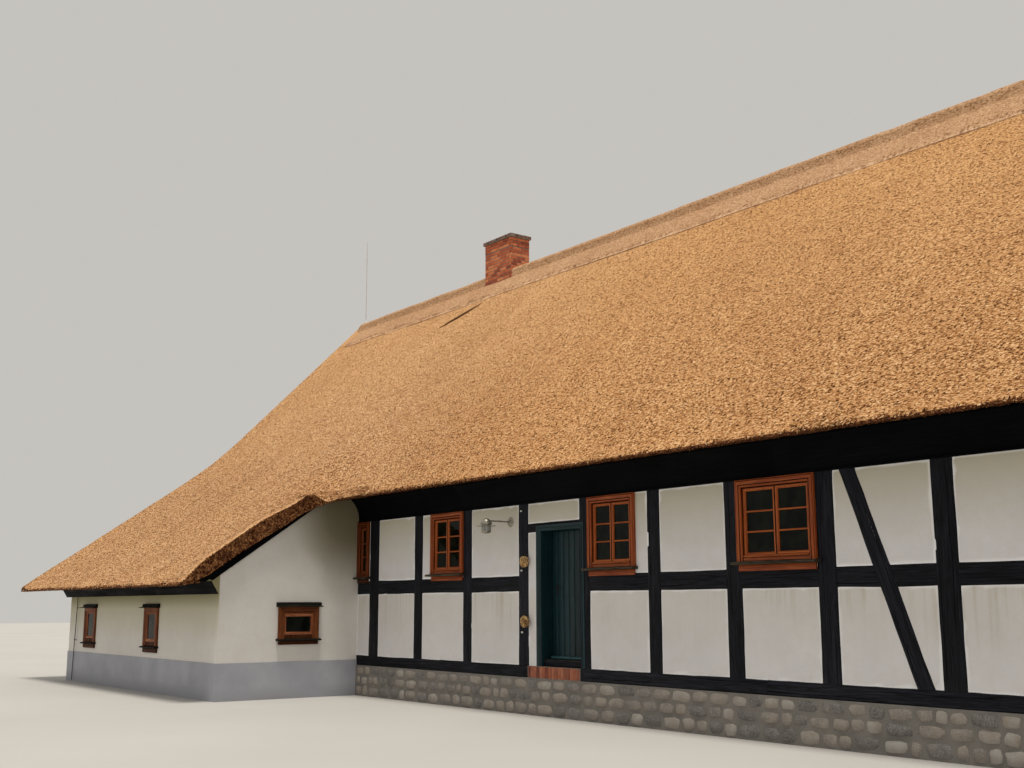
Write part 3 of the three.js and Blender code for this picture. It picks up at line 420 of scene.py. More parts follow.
def mortar_material(name, tone):
    """The bed between stones or bricks."""
    g = Graph(name)
    grit = g.noise(g.place(60), detail=4, rough=0.7)
    broad = g.noise(g.place(3), detail=3)
    color = g.mix(g.map(broad, 0.35, 0.65), dimmed(tone, 0.75), tone)
    color = g.mix(g.map(grit, 0.5, 0.7, 0.0, 0.5), color, dimmed(tone, 1.35))
    return g.finish(color, 0.92, g.bump(grit, 0.004, 0.8))


def plinth_paint_material():
    """Bluish-grey masonry paint on the wing's plinth, darker and stained along the ground."""
    g = Graph("plinth_paint")
    broad = g.noise(g.place(1.2), detail=4, rough=0.6)
    grit = g.noise(g.place(45), detail=3, rough=0.6)
    color = g.mix(g.map(broad, 0.35, 0.65), (0.34, 0.35, 0.395), (0.42, 0.43, 0.475))
    splash = g.times(g.map(g.axis("Z"), 0.0, 0.25, 0.4, 0.0), g.map(broad, 0.3, 0.6))
    color = g.mix(splash, color, (0.12, 0.11, 0.10))
    return g.finish(color, 0.8, g.bump(grit, 0.003, 0.6))


def brick_material(name, tones):
    """Pitted bricks, each with a tone of its own."""
    g = Graph(name)
    pits = g.noise(g.place(60, stored=True), detail=3, rough=0.7)
    broad = g.noise(g.place(9, stored=True), detail=2)
    color = g.ramp(g.blend((broad, 0.45), (g.shade(), 0.55)), zip((0.2, 0.5, 0.8), tones))
    color = g.mix(g.map(pits, 0.3, 0.45, 0.6, 0.0), color, dimmed(tones[0], 0.5))
    return g.finish(color, 0.85, g.bump(pits, 0.002, 0.7))


def metal_material(name, tone, rough, metallic, spots):
    """Weathered metal with spots of another tone."""
    g = Graph(name)
    broad = g.noise(g.place(14), detail=4, rough=0.6)
    fine = g.noise(g.place(160), detail=2)
    color = g.mix(g.map(broad, 0.4, 0.65, 0.0, 0.8), tone, spots)
    roughness = g.map(broad, 0.3, 0.7, rough - 0.08, rough + 0.12)
    return g.finish(color, roughness, g.bump(fine, 0.0004, 0.5), Metallic=metallic)


def glass_material(name, dark, light, size, relief, rough, alpha, gloss=0.5):
    """Slightly uneven glass, whose waves have a size per metre and a (height, strength) relief."""
    g = Graph(name)
    wave = g.noise(g.place(size), detail=2)
    color = g.mix(g.map(wave, 0.35, 0.65), dark, light)
    g.material.surface_render_method = "BLENDED"
    return g.finish(color, rough, g.bump(wave, *relief), gloss, Alpha=alpha)


def straw_material():
    """Straw whose strands run along the stored grain."""
    g = Graph("straw")
    straws = g.shaded(g.noise(g.place((170, 170, 30), stored=True), rough=0.6), -0.14, 0.10)
    color = g.ramp(straws, zip((0.36, 0.48, 0.62), STRAW_TONES))
    return g.finish(color, 0.8, g.bump(straws, 0.003, 0.9))


def floor_material():
    """The studio's pale ground."""
    g = Graph("studio_floor")
    tone = g.ramp(g.noise(g.place(0.2), detail=2), zip((0.3, 0.7), FLOOR_TONES))
    return g.finish(tone, 0.9)


BLACKS = [(0.0015, 0.0017, 0.0028), (0.0052, 0.0062, 0.0110), (0.019, 0.021, 0.032)]
DEEP_BLACKS = [(0.0006, 0.0008, 0.0013), (0.0014, 0.0019, 0.0030), (0.0032, 0.0040, 0.0062)]
ORANGE_WOOD = [(0.15, 0.024, 0.005), (0.32, 0.064, 0.012), (0.54, 0.155, 0.034)]
AGED_BROWN = [(0.050, 0.012, 0.003), (0.165, 0.043, 0.010), (0.30, 0.094, 0.024)]
SALMON = [(0.13, 0.034, 0.012), (0.40, 0.125, 0.050), (0.66, 0.27, 0.13)]
GREY_BROWN = [(0.014, 0.010, 0.006), (0.055, 0.042, 0.026), (0.19, 0.155, 0.10)]
TEAL = [(0.0015, 0.010, 0.013), (0.0035, 0.0215, 0.027), (0.009, 0.040, 0.048)]
# A lighter copy of the door's teal: a painted highlight along the weather bar's top.
LIT_TEAL = [(0.008, 0.040, 0.048), (0.024, 0.090, 0.105), (0.05, 0.15, 0.17)]
OAK = [(0.10, 0.05, 0.025), (0.20, 0.115, 0.06), (0.33, 0.21, 0.12)]
# The window wood dimmed: painted shade for the narrow window in the corner.
SHADED_ORANGE_WOOD = [dimmed(tone, 0.45) for tone in ORANGE_WOOD]
DARK_BROWN = [dimmed(tone, 0.4) for tone in AGED_BROWN]
# Near-black wood: painted shade in the casings' grooves and between the lights.
GROOVE_SHADE_BROWN = [dimmed(tone, 0.10) for tone in AGED_BROWN]
HOOD_BROWN = [(0.002, 0.003, 0.002), (0.010, 0.009, 0.006), (0.035, 0.028, 0.018)]
STRAW_TONES = [(0.12, 0.055, 0.016), (0.44, 0.25, 0.085), (0.80, 0.56, 0.26)]
FLOOR_TONES = [(0.50, 0.485, 0.46), (0.54, 0.525, 0.50)]
STONE_TONES = [(0.075, 0.07, 0.068), (0.17, 0.155, 0.14), (0.27, 0.225, 0.185), (0.36, 0.34, 0.31)]
FINE_STREAKS, MIDDLE_STREAKS, PAINT_STREAKS = (110, 110, 2), (70, 70, 3), (45, 45, 1.6)
ALONG_X, ALONG_Y = (0, 90, 0), (90, 0, 0)

front_thatch = thatch_material("thatch_front", -45, THATCH_TONES, 0.024, 0.3, wing=True)
catslide_thatch = thatch_material("thatch_catslide", -36, THATCH_TONES, 0.021, 0.3, wing=True)
back_thatch = thatch_material("thatch_back", 45, THATCH_TONES, golden=0.3)
ridge_thatch = thatch_material("ridge_thatch", -20, RIDGE_TONES, 0.010)
cut_thatch = cut_thatch_material()
black_timber = wood_material("black_timber", BLACKS, (0.45, 0.7), 0.14, relief=0.003, cracks=0.9)
black_board = wood_material("black_board", DEEP_BLACKS, (0.5, 0.75), 0.04, relief=0.002)
black_object = wood_material("black_board_long", DEEP_BLACKS, (0.5, 0.75), 0.06, turn=ALONG_X)
orange_wood = wood_material("window_wood", ORANGE_WOOD, (0.32, 0.5), 0.22, FINE_STREAKS, 0.0006)
# A darker copy of the window wood: painted shade for the narrow window in the corner.
shaded_window_wood = wood_material("shaded_window_wood", SHADED_ORANGE_WOOD, (0.4, 0.6), 0.15, FINE_STREAKS, 0.0006)
aged_wood = wood_material("aged_wood", AGED_BROWN, (0.5, 0.7), 0.2, MIDDLE_STREAKS)
salmon_wood = wood_material("inner_frame_wood", SALMON, (0.45, 0.65), 0.25, MIDDLE_STREAKS)
dark_wood = wood_material("dark_wood", DARK_BROWN, (0.6, 0.8), 0.15)
hood_wood = wood_material("hood_wood", HOOD_BROWN, (0.6, 0.8), 0.12)
groove_shade_wood = wood_material("groove_shade_wood", GROOVE_SHADE_BROWN, (0.7, 0.9), 0.05)
grey_wood = wood_material("weathered_sill", GREY_BROWN, (0.6, 0.8), 0.2, (80, 80, 3), 0.001)
teal_paint = wood_material("door_paint", TEAL, (0.35, 0.5), 0.3, PAINT_STREAKS, 0.0008)
lit_teal = wood_material("weather_bar_lit_paint", LIT_TEAL, (0.4, 0.55), 0.5, PAINT_STREAKS, 0.0008)
oak_boards = wood_material("floor_boards", OAK, (0.45, 0.65), 0.5, (40, 40, 2))
oak_object = wood_material("floor_slab", OAK, (0.5, 0.7), turn=ALONG_Y)
white_panel = plaster_material("white_panel", (0.735, 0.72, 0.725), (0.94, 0.94, 0.95), (0.58, 0.54, 0.46),
                               panel_shade_and_stains)
wing_render = plaster_material("wing_render", (0.76, 0.73, 0.69), (0.82, 0.79, 0.74), (0.60, 0.56, 0.47),
                               wing_painted_shade)
fieldstone = stone_material()
stone_mortar = mortar_material("stone_mortar", (0.20, 0.185, 0.165))
brick_mortar = mortar_material("brick_mortar", (0.24, 0.20, 0.17))
plinth_paint = plinth_paint_material()
red_brick = brick_material("brick", [(0.25, 0.048, 0.018), (0.54, 0.13, 0.045), (0.72, 0.26, 0.10)])
# A darker, duller copy of the brick for the row under the door: painted shade.
base_brick = brick_material("base_brick", [(0.13, 0.030, 0.014), (0.31, 0.085, 0.040), (0.46, 0.18, 0.095)])
sooty_brick = brick_material("sooty_brick", [(0.06, 0.026, 0.016), (0.16, 0.065, 0.036), (0.27, 0.12, 0.065)])
galvanised = metal_material("galvanised_metal", (0.66, 0.66, 0.61), 0.5, 0.35, (0.48, 0.48, 0.45))
lamp_metal = metal_material("lamp_metal", (0.38, 0.36, 0.295), 0.36, 0.75, (0.24, 0.225, 0.18))
lead_metal = metal_material("conductor_metal", (0.055, 0.065, 0.062), 0.55, 0.5, (0.035, 0.04, 0.038))
dark_metal = metal_material("dark_metal", (0.010, 0.010, 0.012), 0.5, 0.4, (0.02, 0.014, 0.010))
white_enamel = metal_material("white_enamel", (0.72, 0.71, 0.68), 0.35, 0.0, (0.6, 0.58, 0.54))
glass = glass_material("window_glass", (0.002, 0.003, 0.002), (0.008, 0.010, 0.006), 7, (0.004, 0.35),
                       0.04, 0.92, 0.09)
lamp_glass = glass_material("lamp_glass", (0.55, 0.58, 0.58), (0.7, 0.72, 0.72), 25, (0.002, 0.4), 0.08, 0.5)
straw = straw_material()


# Shapes. Each one is added to a piece in a place of its own, and keeps its grain and shade with it.

class Piece:
    """Shapes gathered for one joined mesh."""

    def __init__(self, *materials):
        self.materials = materials
        self.blocks = []

    def add(self, home, points, faces, material=0, grain=None, shade=None):
        """Points in a place, and faces as lists of arrays whose rows number the points."""
        points = np.asarray(points, float).reshape(-1, 3)
        local = points if grain is None else np.asarray(grain, float).reshape(-1, 3)
        local = local + rng.uniform(-40, 40, 3)
        placed = points @ np.array(home.to_3x3()).T + np.array(home.translation)
        shades = np.broadcast_to(rng.random() if shade is None else np.asarray(shade).ravel(), len(points))
        rows = [np.asarray(block, int) for block in (faces if isinstance(faces, list) else [faces])]
        self.blocks.append((placed, rows, material, local, shades))

    def joined(self, name):
        """One mesh of all the shapes, which stores their grain and shade at its points."""
        points = np.concatenate([block[0] for block in self.blocks])
        grain = np.concatenate([block[3] for block in self.blocks])
        shade = np.concatenate([block[4] for block in self.blocks])
        corners, counts, slots, base = [], [], [], 0
        for placed, rows, material, _, _ in self.blocks:
            for row in rows:
                corners.append((row + base).ravel())
                counts.append(np.full(len(row), row.shape[1]))
                slots.append(np.full(len(row), material))
            base += len(placed)
        corners, counts, slots = map(np.concatenate, (corners, counts, slots))
        used = np.zeros(len(points), bool)
        used[corners] = True
        corners = (np.cumsum(used) - 1)[corners]
        points, grain, shade = points[used], grain[used], shade[used]
        mesh = bpy.data.meshes.new(name)
        mesh.vertices.add(len(points))
        mesh.vertices.foreach_set("co", points.ravel().astype(np.float32))
        mesh.loops.add(len(corners))
        mesh.loops.foreach_set("vertex_index", corners.astype(np.int32))
        mesh.polygons.add(len(counts))
        mesh.polygons.foreach_set("loop_start", (np.cumsum(counts) - counts).astype(np.int32))
        mesh.update(calc_edges=True)
        mesh.polygons.foreach_set("material_index", slots.astype(np.int32))
        mesh.attributes.new("grain", "FLOAT_VECTOR", "POINT").data.foreach_set("vector", grain.ravel())
        mesh.attributes.new("shade", "FLOAT", "POINT").data.foreach_set("value", shade)
        for material in self.materials:
            mesh.materials.append(material)
        return mesh

    def make(self, name, slot, body="house", replaces=(), sharp=38, outward=True):
        """Makes the joined shapes an object of a body. Edges past the angle in degrees are sharp."""
        mesh = self.joined(name)
        if outward:
            shell = bmesh.new()
            shell.from_mesh(mesh)
            bmesh.ops.recalc_face_normals(shell, faces=shell.faces)
            shell.to_mesh(mesh)
            shell.free()
        mesh.shade_smooth()
        mesh.set_sharp_from_angle(angle=math.radians(sharp))
        made = bpy.data.objects.new(name, mesh)
        bpy.context.scene.collection.objects.link(made)
        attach(made, body)
        if replaces:
            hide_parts(*replaces)


def smooth(part):
    return part * part * (3 - 2 * part)


def ease(value):
    """A smooth step from 0 to 1."""
    return smooth(np.clip(value, 0, 1))


def xyz(x, y, z):
    """Points from three coordinates, each an array or one number."""
    return np.stack(np.broadcast_arrays(x, y, z), -1)


def ripple(places, wave=0.5):
    """A smooth random line between -1 and 1 at these places along a length."""
    steps = (np.asarray(places, float) - np.min(places)) / wave
    knots = rng.uniform(-1, 1, int(steps.max()) + 3)
    low = steps.astype(int)
    part = smooth(steps - low)
    return knots[low] * (1 - part) + knots[low + 1] * part


def rumple(x, y, size, seed):
    """Smooth random heights between -1 and 1 over a plan, with bumps of about this size."""
    table = np.random.default_rng(seed).uniform(-1, 1, (256, 256))
    u, v = np.asarray(x) / size + 1000, np.asarray(y) / size + 1000
    i, j = np.floor(u).astype(int), np.floor(v).astype(int)
    s, t = smooth(u - i), smooth(v - j)
    i, j, k, m = i % 256, j % 256, (i + 1) % 256, (j + 1) % 256
    return (table[i, j] * (1 - s) + table[k, j] * s) * (1 - t) + (table[i, m] * (1 - s) + table[k, m] * s) * t


def tube_faces(rings, around):
    """Faces of a closed tube, from rings with the same number of points each."""
    start = np.arange(rings - 1)[:, None] * around
    here = np.arange(around)[None, :]
    ahead = (here + 1) % around
    quads = np.stack([start + here, start + ahead, start + around + ahead, start + around + here], -1)
    return [quads.reshape(-1, 4), here[:, ::-1], here + (rings - 1) * around]


def sheet_faces(rows, columns, keep=None):
    """Faces of an open grid of points, without the cells that keep leaves out."""
    start = np.arange(rows - 1)[:, None] * columns + np.arange(columns - 1)[None, :]
    quads = np.stack([start, start + 1, start + columns + 1, start + columns], -1)
    return quads[keep] if keep is not None else quads.reshape(-1, 4)


BAR_STEP = 0.3


def bar(piece, home, start, end, inward, profile, cuts=(0, 0), material=0, wave=0.0, shade=None):
    """A straight moulding in a wall's plane. Its profile is (inward, depth) points round a closed outline.

    start and end are (x, z) of its outer edge, and inward is 1 where it lies to the left of that line. A
    cut of 1 mitres an end, and 0 leaves it square. The shade can be a function of the share of the length.
    """
    start, end, profile = np.array(start, float), np.array(end, float), np.array(profile, float)
    length = np.linalg.norm(end - start)
    axis = (end - start) / length
    side = inward * np.array([-axis[1], axis[0]])
    count = max(2, int(length / BAR_STEP) + 1)
    t = np.linspace(0, 1, count)[:, None]
    u, depth = profile[None, :, 0], profile[None, :, 1]
    along = cuts[0] * u * (1 - t) + (length - cuts[1] * u) * t
    sway = wave * ripple(t[:, 0] * length, 0.4)[:, None]
    x = start[0] + axis[0] * along + side[0] * (u + sway)
    z = start[1] + axis[1] * along + side[1] * (u + sway)
    if callable(shade):
        shade = shade(np.clip(along / length, 0, 1))
    piece.add(home, xyz(x, depth, z), tube_faces(count, len(profile)), material, xyz(u, depth, along), shade)


def board_profile(width, front, back, edge=0.004):
    """A board's outline with its front edges rounded, from its outer edge inwards."""
    return [
        (0, back), (0, front + edge), (0.3 * edge, front + 0.3 * edge), (edge, front),
        (width - edge, front), (width - 0.3 * edge, front + 0.3 * edge), (width, front + edge), (width, back),
    ]


CORNERS = [(i, j, k) for i in (0, 1) for j in (0, 1) for k in (0, 1)]


def block_faces():
    """Faces of a block with broken edges, whose corners have a point for each axis."""
    number = {corner: index for index, corner in enumerate(CORNERS)}
    quads = []
    for axis in range(3):
        first, second = [other for other in range(3) if other != axis]
        for side in (0, 1):
            ring = []
            for a, b in ((0, 0), (1, 0), (1, 1), (0, 1)):
                corner = [0, 0, 0]
                corner[axis], corner[first], corner[second] = side, a, b
                ring.append(3 * number[tuple(corner)] + axis)
            quads.append(ring)
        for a in (0, 1):
            for b in (0, 1):
                low, high = [0, 0, 0], [0, 0, 0]
                low[first] = high[first] = a
                low[second] = high[second] = b
                high[axis] = 1
                p, q = 3 * number[tuple(low)], 3 * number[tuple(high)]
                quads.append([p + first, q + first, q + second, p + second])
    corners = [[3 * index, 3 * index + 1, 3 * index + 2] for index in range(8)]
    return [np.array(quads), np.array(corners)]


BLOCK_FACES = block_faces()


def block(piece, home, low, high, edge=0.004, material=0, jitter=0.0, along=2):
    """A board, brick or plate with its edges broken. Its grain runs along one axis."""
    low, high = np.array(low, float), np.array(high, float)
    middle = (low + high) / 2
    points = []
    for corner in CORNERS:
        tip = np.where(corner, high, low) + rng.uniform(-jitter, jitter, 3)
        for axis in range(3):
            inset = np.sign(middle - tip) * edge
            inset[axis] = 0
            points.append(tip + inset)
    points = np.array(points)
    others = [axis for axis in range(3) if axis != along]
    piece.add(home, points, BLOCK_FACES, material, points[:, [*others, along]])


def lathe(piece, home, profile, segments, material=0):
    """A turned shape about its place's own Z, from (radius, height) points."""
    profile = np.array(profile, float)
    angle = np.linspace(0, 2 * math.pi, segments, endpoint=False)
    radius = np.maximum(profile[:, 0], 0.0004)[:, None]
    points = xyz(radius * np.cos(angle), radius * np.sin(angle), profile[:, 1:])
    piece.add(home, points, tube_faces(len(profile), segments), material)


def wire(piece, home, path, radius, sides, material=0, taper=1.0):
    """A round rod along a path, each ring square to it, and thinner where its taper is less than 1."""
    path = np.array(path, float)
    ahead = np.gradient(path, axis=0)
    ahead /= np.linalg.norm(ahead, axis=1)[:, None]
    lead = np.array([0.0, 0.0, 1.0]) if abs(ahead[0][2]) < 0.9 else np.array([1.0, 0.0, 0.0])
    first = np.cross(ahead, lead)
    first /= np.linalg.norm(first, axis=1)[:, None]
    second = np.cross(ahead, first)
    angle = np.linspace(0, 2 * math.pi, sides, endpoint=False)
    widths = radius * np.ones(len(path)) * taper
    ring = first[:, None, :] * np.cos(angle)[None, :, None]
    ring = ring + second[:, None, :] * np.sin(angle)[None, :, None]
    points = path[:, None, :] + widths[:, None, None] * ring
    piece.add(home, points, tube_faces(len(path), sides), material)


# Timber frames

ROUND = 0.014


def timber(piece, home, first, second, face=-0.004, back=TIMBER, wave=0.007, grow=0.005, notched=0.22,
           marks=()):
    """A hewn beam between two long edges, each given by its ends as (x, z), with splits along its face.

    Its edges are notched so many times a metre at random, and also where marks say, each as (middle, half
    length, depth, which edge).
    """
    first, second = np.array(first, float), np.array(second, float)
    length = np.linalg.norm((first[1] + second[1] - first[0] - second[0]) / 2)
    places = list(np.linspace(0, length, max(4, int(length / 0.11))))
    notches = list(marks)
    for _ in range(rng.poisson(length * notched)):
        middle, half = rng.uniform(0.2, length - 0.2), rng.uniform(0.03, 0.09)
        depth = rng.uniform(0.006, 0.016)
        notches.append((middle, half, depth, rng.integers(2)))
    for middle, half, _, _ in notches:
        places += [middle - half - 0.01, middle - half, middle + half, middle + half + 0.02]
    places = np.clip(np.sort(places), 0, length)
    t = (places / length)[:, None]
    a = first[0] * (1 - t) + first[1] * t
    b = second[0] * (1 - t) + second[1] * t
    across = b - a
    width = np.linalg.norm(across, axis=1)
    across /= width[:, None]
    edges = []
    for side in (0, 1):
        sway = wave * (0.6 * ripple(places, 0.7) + 0.4 * ripple(places, 0.18)) - grow
        for middle, half, depth, which in notches:
            if which == side:
                sway += depth * (np.abs(places - middle) <= half + 1e-6)
        edges.append(sway)
    proud = face + 0.003 * ripple(places, 0.5)
    low, high = edges[0], width - edges[1]
    rows = [(low, back), (low, proud + ROUND), (low + 0.3 * ROUND, proud + 0.3 * ROUND), (low + ROUND, proud)]
    rows += split_rows(places, width, length, proud)
    rows += [(high - ROUND, proud), (high - 0.3 * ROUND, proud + 0.3 * ROUND), (high, proud + ROUND),
             (high, back)]
    points = [xyz(a[:, 0] + across[:, 0] * offset, depth, a[:, 1] + across[:, 1] * offset)
              for offset, depth in rows]
    grain = [xyz(offset, depth, places) for offset, depth in rows]
    piece.add(home, np.stack(points, 1), tube_faces(len(places), len(rows)), 0, np.stack(grain, 1))


def split_rows(places, width, length, proud):
    """Rows of (offset, depth) along a beam's face, in threes that open into a split and close again."""
    rows = []
    splits = 2 if width.mean() > 0.15 else 1
    for index in range(splits):
        middle = width * (index + rng.uniform(0.3, 0.7)) / splits + 0.012 * ripple(places, 0.35)
        begin, reach = rng.uniform(-0.3, 0.6) * length, rng.uniform(0.25, 0.8) * length
        open_share = np.clip(np.minimum(places - begin, begin + reach - places) / 0.25, 0, 1)
        half = 0.0012 + 0.0028 * open_share
        rows += [(middle - half, proud), (middle, proud + 0.012 * open_share), (middle + half, proud)]
    return rows


def post(piece, home, edges, low=LEVEL["sill"], high=LEVEL["plate"], **looks):
    timber(piece, home, ((edges[0], low), (edges[0], high)), ((edges[1], low), (edges[1], high)), **looks)


def rail(piece, home, left, right, low, high, **looks):
    timber(piece, home, ((left, low), (right, low)), ((left, high), (right, high)), **looks)


def brace(piece, home, top, foot, high=LEVEL["plate"]):
    low = LEVEL["sill"]
    timber(piece, home, ((foot[0], low), (top[0], high)), ((foot[1], low), (top[1], high)), face=BRACE_FACE)


def rails_between(piece, home, edges, low, high, raised=0.0):
    """Mid rails from post to post, each with a slightly different height."""
    for (_, left), (right, _) in zip(edges, edges[1:]):
        lift = rng.uniform(-0.006, 0.006) + raised
        rail(piece, home, left - 0.01, right + 0.01, low + lift, high + lift, face=0.0)


def sills(piece, home, left, right, joints):
    """The sill beam in lengths, butted at the joints."""
    ends = [left, *joints, right]
    for start, end in zip(ends, ends[1:]):
        rail(piece, home, start + 0.001, end - 0.001, LEVEL["plinth"] + 0.006, LEVEL["sill"], face=-0.007,
             grow=0.004, notched=0)


def add_front_frame():
    piece = Piece(black_timber)
    broken = (BROKEN_EDGE["middle"] - LEVEL["sill"], BROKEN_EDGE["half"], BROKEN_EDGE["depth"], 0)
    for edges in FIRST_POST + POSTS_LEFT[1:] + POSTS_RIGHT:
        marks = [broken] if edges == BROKEN_EDGE["post"] else ()
        post(piece, FRONT, edges, back=WALL if edges[1] > HOUSE_RIGHT - 0.01 else TIMBER, marks=marks)
    rails_between(piece, FRONT, [(0, 0.004)] + POSTS_LEFT, LEVEL["rail_low"], LEVEL["rail_top"], RAISED_LEFT)
    rails_between(piece, FRONT, POSTS_RIGHT, LEVEL["rail_low"], LEVEL["rail_top"])
    for top, foot in BRACES:
        brace(piece, FRONT, top, foot)
    sills(piece, FRONT, 0.002, DOORWAY[0], SILL_JOINTS["left"])
    sills(piece, FRONT, DOORWAY[1], HOUSE_RIGHT, SILL_JOINTS["right"])
    piece.make("front_timbers", slot="black_timber", replaces=("front_frame_left", "front_frame_right"))


def back_posts():
    """The edges of the back wall's posts, of which the two at its corners are wider."""
    pitch = (BACK_LENGTH - CORNER_POST) / BACK_BAYS
    edges = [(index * pitch, index * pitch + HIDDEN_POST) for index in range(BACK_BAYS + 1)]
    edges[0], edges[-1] = (0, CORNER_POST), (BACK_LENGTH - CORNER_POST, BACK_LENGTH)
    return edges


def gable_posts():
    """The edges of the right gable's posts."""
    near, far = WALL, HOUSE_DEPTH - WALL
    pitch = (far - near - HIDDEN_POST) / GABLE_BAYS
    return [(near + index * pitch, near + index * pitch + HIDDEN_POST) for index in range(GABLE_BAYS + 1)]


def hidden_windows(edges, bays):
    """The edges of the windows in the middle of some bays between posts."""
    middles = [(edges[bay][1] + edges[bay + 1][0]) / 2 for bay in bays]
    return [(middle - HIDDEN_WINDOW / 2, middle + HIDDEN_WINDOW / 2) for middle in middles]


def add_back_frame():
    piece = Piece(black_timber)
    edges = back_posts()
    for pair in edges:
        post(piece, BACK, pair, back=WALL if pair[0] == 0 else TIMBER)
    rails_between(piece, BACK, edges, LEVEL["rail_low"], LEVEL["rail_top"])
    sills(piece, BACK, 0.0, edges[-1][1], SILL_JOINTS["back"])
    for bay, towards in ((0, -1), (BACK_BAYS - 1, 1)):
        near, far = edges[bay][1] + 0.10, edges[bay + 1][0] - 0.10 - BRACE
        top, foot = (far, near) if towards > 0 else (near, far)
        brace(piece, BACK, (top, top + BRACE), (foot, foot + BRACE))
    piece.make("back_timbers", slot="black_timber", replaces=("back_frame",))


def under_rafter(x):
    """The height of the gable's slanting edge at a place along it, under the thatch."""
    near = min(x, HOUSE_DEPTH - x)
    return float(main_top(near)) - MAIN_RISE - 0.002


def add_gable_frame():
    piece = Piece(black_timber)
    edges = gable_posts()
    rafter = HIDDEN_POST * math.hypot(1, MAIN_SLOPE)
    for pair in edges:
        high = min(under_rafter(pair[0]), under_rafter(pair[1])) - 0.1
        post(piece, RIGHT, pair, high=high)
    near, far = WALL, HOUSE_DEPTH - WALL
    rails_between(piece, RIGHT, edges, LEVEL["rail_low"], LEVEL["rail_top"])
    sills(piece, RIGHT, near, far, SILL_JOINTS["gable"])
    for low, high in GABLE_RAILS:
        start = near + max(0, (high - under_rafter(near)) / MAIN_SLOPE)
        rail(piece, RIGHT, start, HOUSE_DEPTH - start, low, high, face=-0.006)
    shoulder, peak = under_rafter(near), under_rafter(RIDGE["y"])
    for start, first, second in ((near, rafter, 0), (far, 0, rafter)):
        timber(piece, RIGHT, ((start, shoulder - first), (RIDGE["y"], peak - first)),
               ((start, shoulder - second), (RIDGE["y"], peak - second)), face=-0.009)
    first, last = edges[0][1], edges[-1][0] - BRACE
    for foot, top in ((first + 0.9, first + 0.12), (last - 0.9, last - 0.12)):
        brace(piece, RIGHT, (top, top + BRACE), (foot, foot + BRACE), high=GABLE_RAILS[0][0])
    piece.make("gable_timbers", slot="black_timber", replaces=("right_gable_frame",))


# Plaster panels

PANEL_LAP = 0.012


def panel(piece, home, left, right, low, high, windows=(), cell=0.05, top=None):
    """A thin plaster skin, sunk at its rim and open behind the casings. Its top can be a function."""
    columns = max(4, int((right - left) / cell))
    rows = max(4, int((high - low) / cell))
    x = np.linspace(left - PANEL_LAP, right + PANEL_LAP, columns + 1)[None, :].repeat(rows + 1, 0)
    z = np.linspace(low - PANEL_LAP, high + PANEL_LAP, rows + 1)[:, None].repeat(columns + 1, 1)
    if top is not None:
        ceiling = np.array([top(value) for value in x[0]])[None, :]
        z = low - PANEL_LAP + (z - z[0]) / (z[-1] - z[0]) * np.maximum(ceiling - low, 0.02)
    rim = np.minimum.reduce([x - left, right - x, z - low, (high if top is None else ceiling) - z])
    rim = rim + 0.012 * rumple(x, z, 0.13, 31)
    rise = ease(rim / 0.05)
    y = 0.0074 - 0.0065 * rise - 0.002 * rumple(x, z, 0.5, 32) * rise - 0.0012 * rumple(x, z, 0.15, 33) * rise
    # Stored as shade, this whitens the rim in the plaster: in part whiter lime, in part a painted highlight
    # on the curved edge.
    shade = np.clip(1 - (rim - 0.01) / 0.035, 0, 1)
    keep = np.ones((rows, columns), bool)
    middle_x, middle_z = (x[:-1, 1:] + x[:-1, :-1]) / 2, (z[1:, :-1] + z[:-1, :-1]) / 2
    for first, last in windows:
        keep &= ~((middle_x > first + 0.04) & (middle_x < last - 0.04) & (middle_z > CASEMENT["sill"] - 0.03))
    piece.add(home, xyz(x, y, z), sheet_faces(rows + 1, columns + 1, keep), 0, shade=shade)


def panels(piece, home, edges, windows, cell=0.05, raised=0.0):
    """Both storeys of panels between a wall's posts."""
    for (_, left), (right, _) in zip(edges, edges[1:]):
        panel(piece, home, left, right, LEVEL["sill"], LEVEL["rail_low"] + raised, cell=cell)
        panel(piece, home, left, right, LEVEL["rail_top"] + raised, LEVEL["plate"], windows, cell)


def add_panels():
    front = Piece(white_panel)
    panels(front, FRONT, [(-0.02, 0.0)] + FIRST_POST + POSTS_LEFT[1:], FRONT_WINDOWS, raised=RAISED_LEFT)
    panels(front, FRONT, POSTS_RIGHT, FRONT_WINDOWS)
    panel(front, FRONT, DOORWAY[0], DOOR["left"] - 0.012, LEVEL["sill"], LINTEL["low"])
    panel(front, FRONT, *DOORWAY, LINTEL["top"], LEVEL["plate"])
    front.make("front_panels", slot="white_render", outward=False)
    back = Piece(white_panel)
    edges = back_posts()
    panels(back, BACK, edges, hidden_windows(edges, BACK_WINDOWS), 0.08)
    back.make("back_panels", slot="white_render", outward=False)
    gable = Piece(white_panel)
    edges = gable_posts()
    windows = hidden_windows(edges, GABLE_WINDOWS)
    panels(gable, RIGHT, edges, windows, 0.08)
    levels = [*GABLE_RAILS, (9.3, 9.4)]
    for (_, left), (right, _) in zip(edges, edges[1:]):
        for (_, low), (high, _) in zip(levels, levels[1:]):
            reach = max(under_rafter(left), under_rafter(right)) - 0.25
            if reach > low + 0.05:
                panel(gable, RIGHT, left, right, low, min(high, reach), cell=0.08,
                      top=lambda value, high=high: min(high + PANEL_LAP, under_rafter(value) - 0.2))
    gable.make("gable_panels", slot="white_render", outward=False)


# Windows. A profile holds (distance from the outer edge, depth) points round its outline.

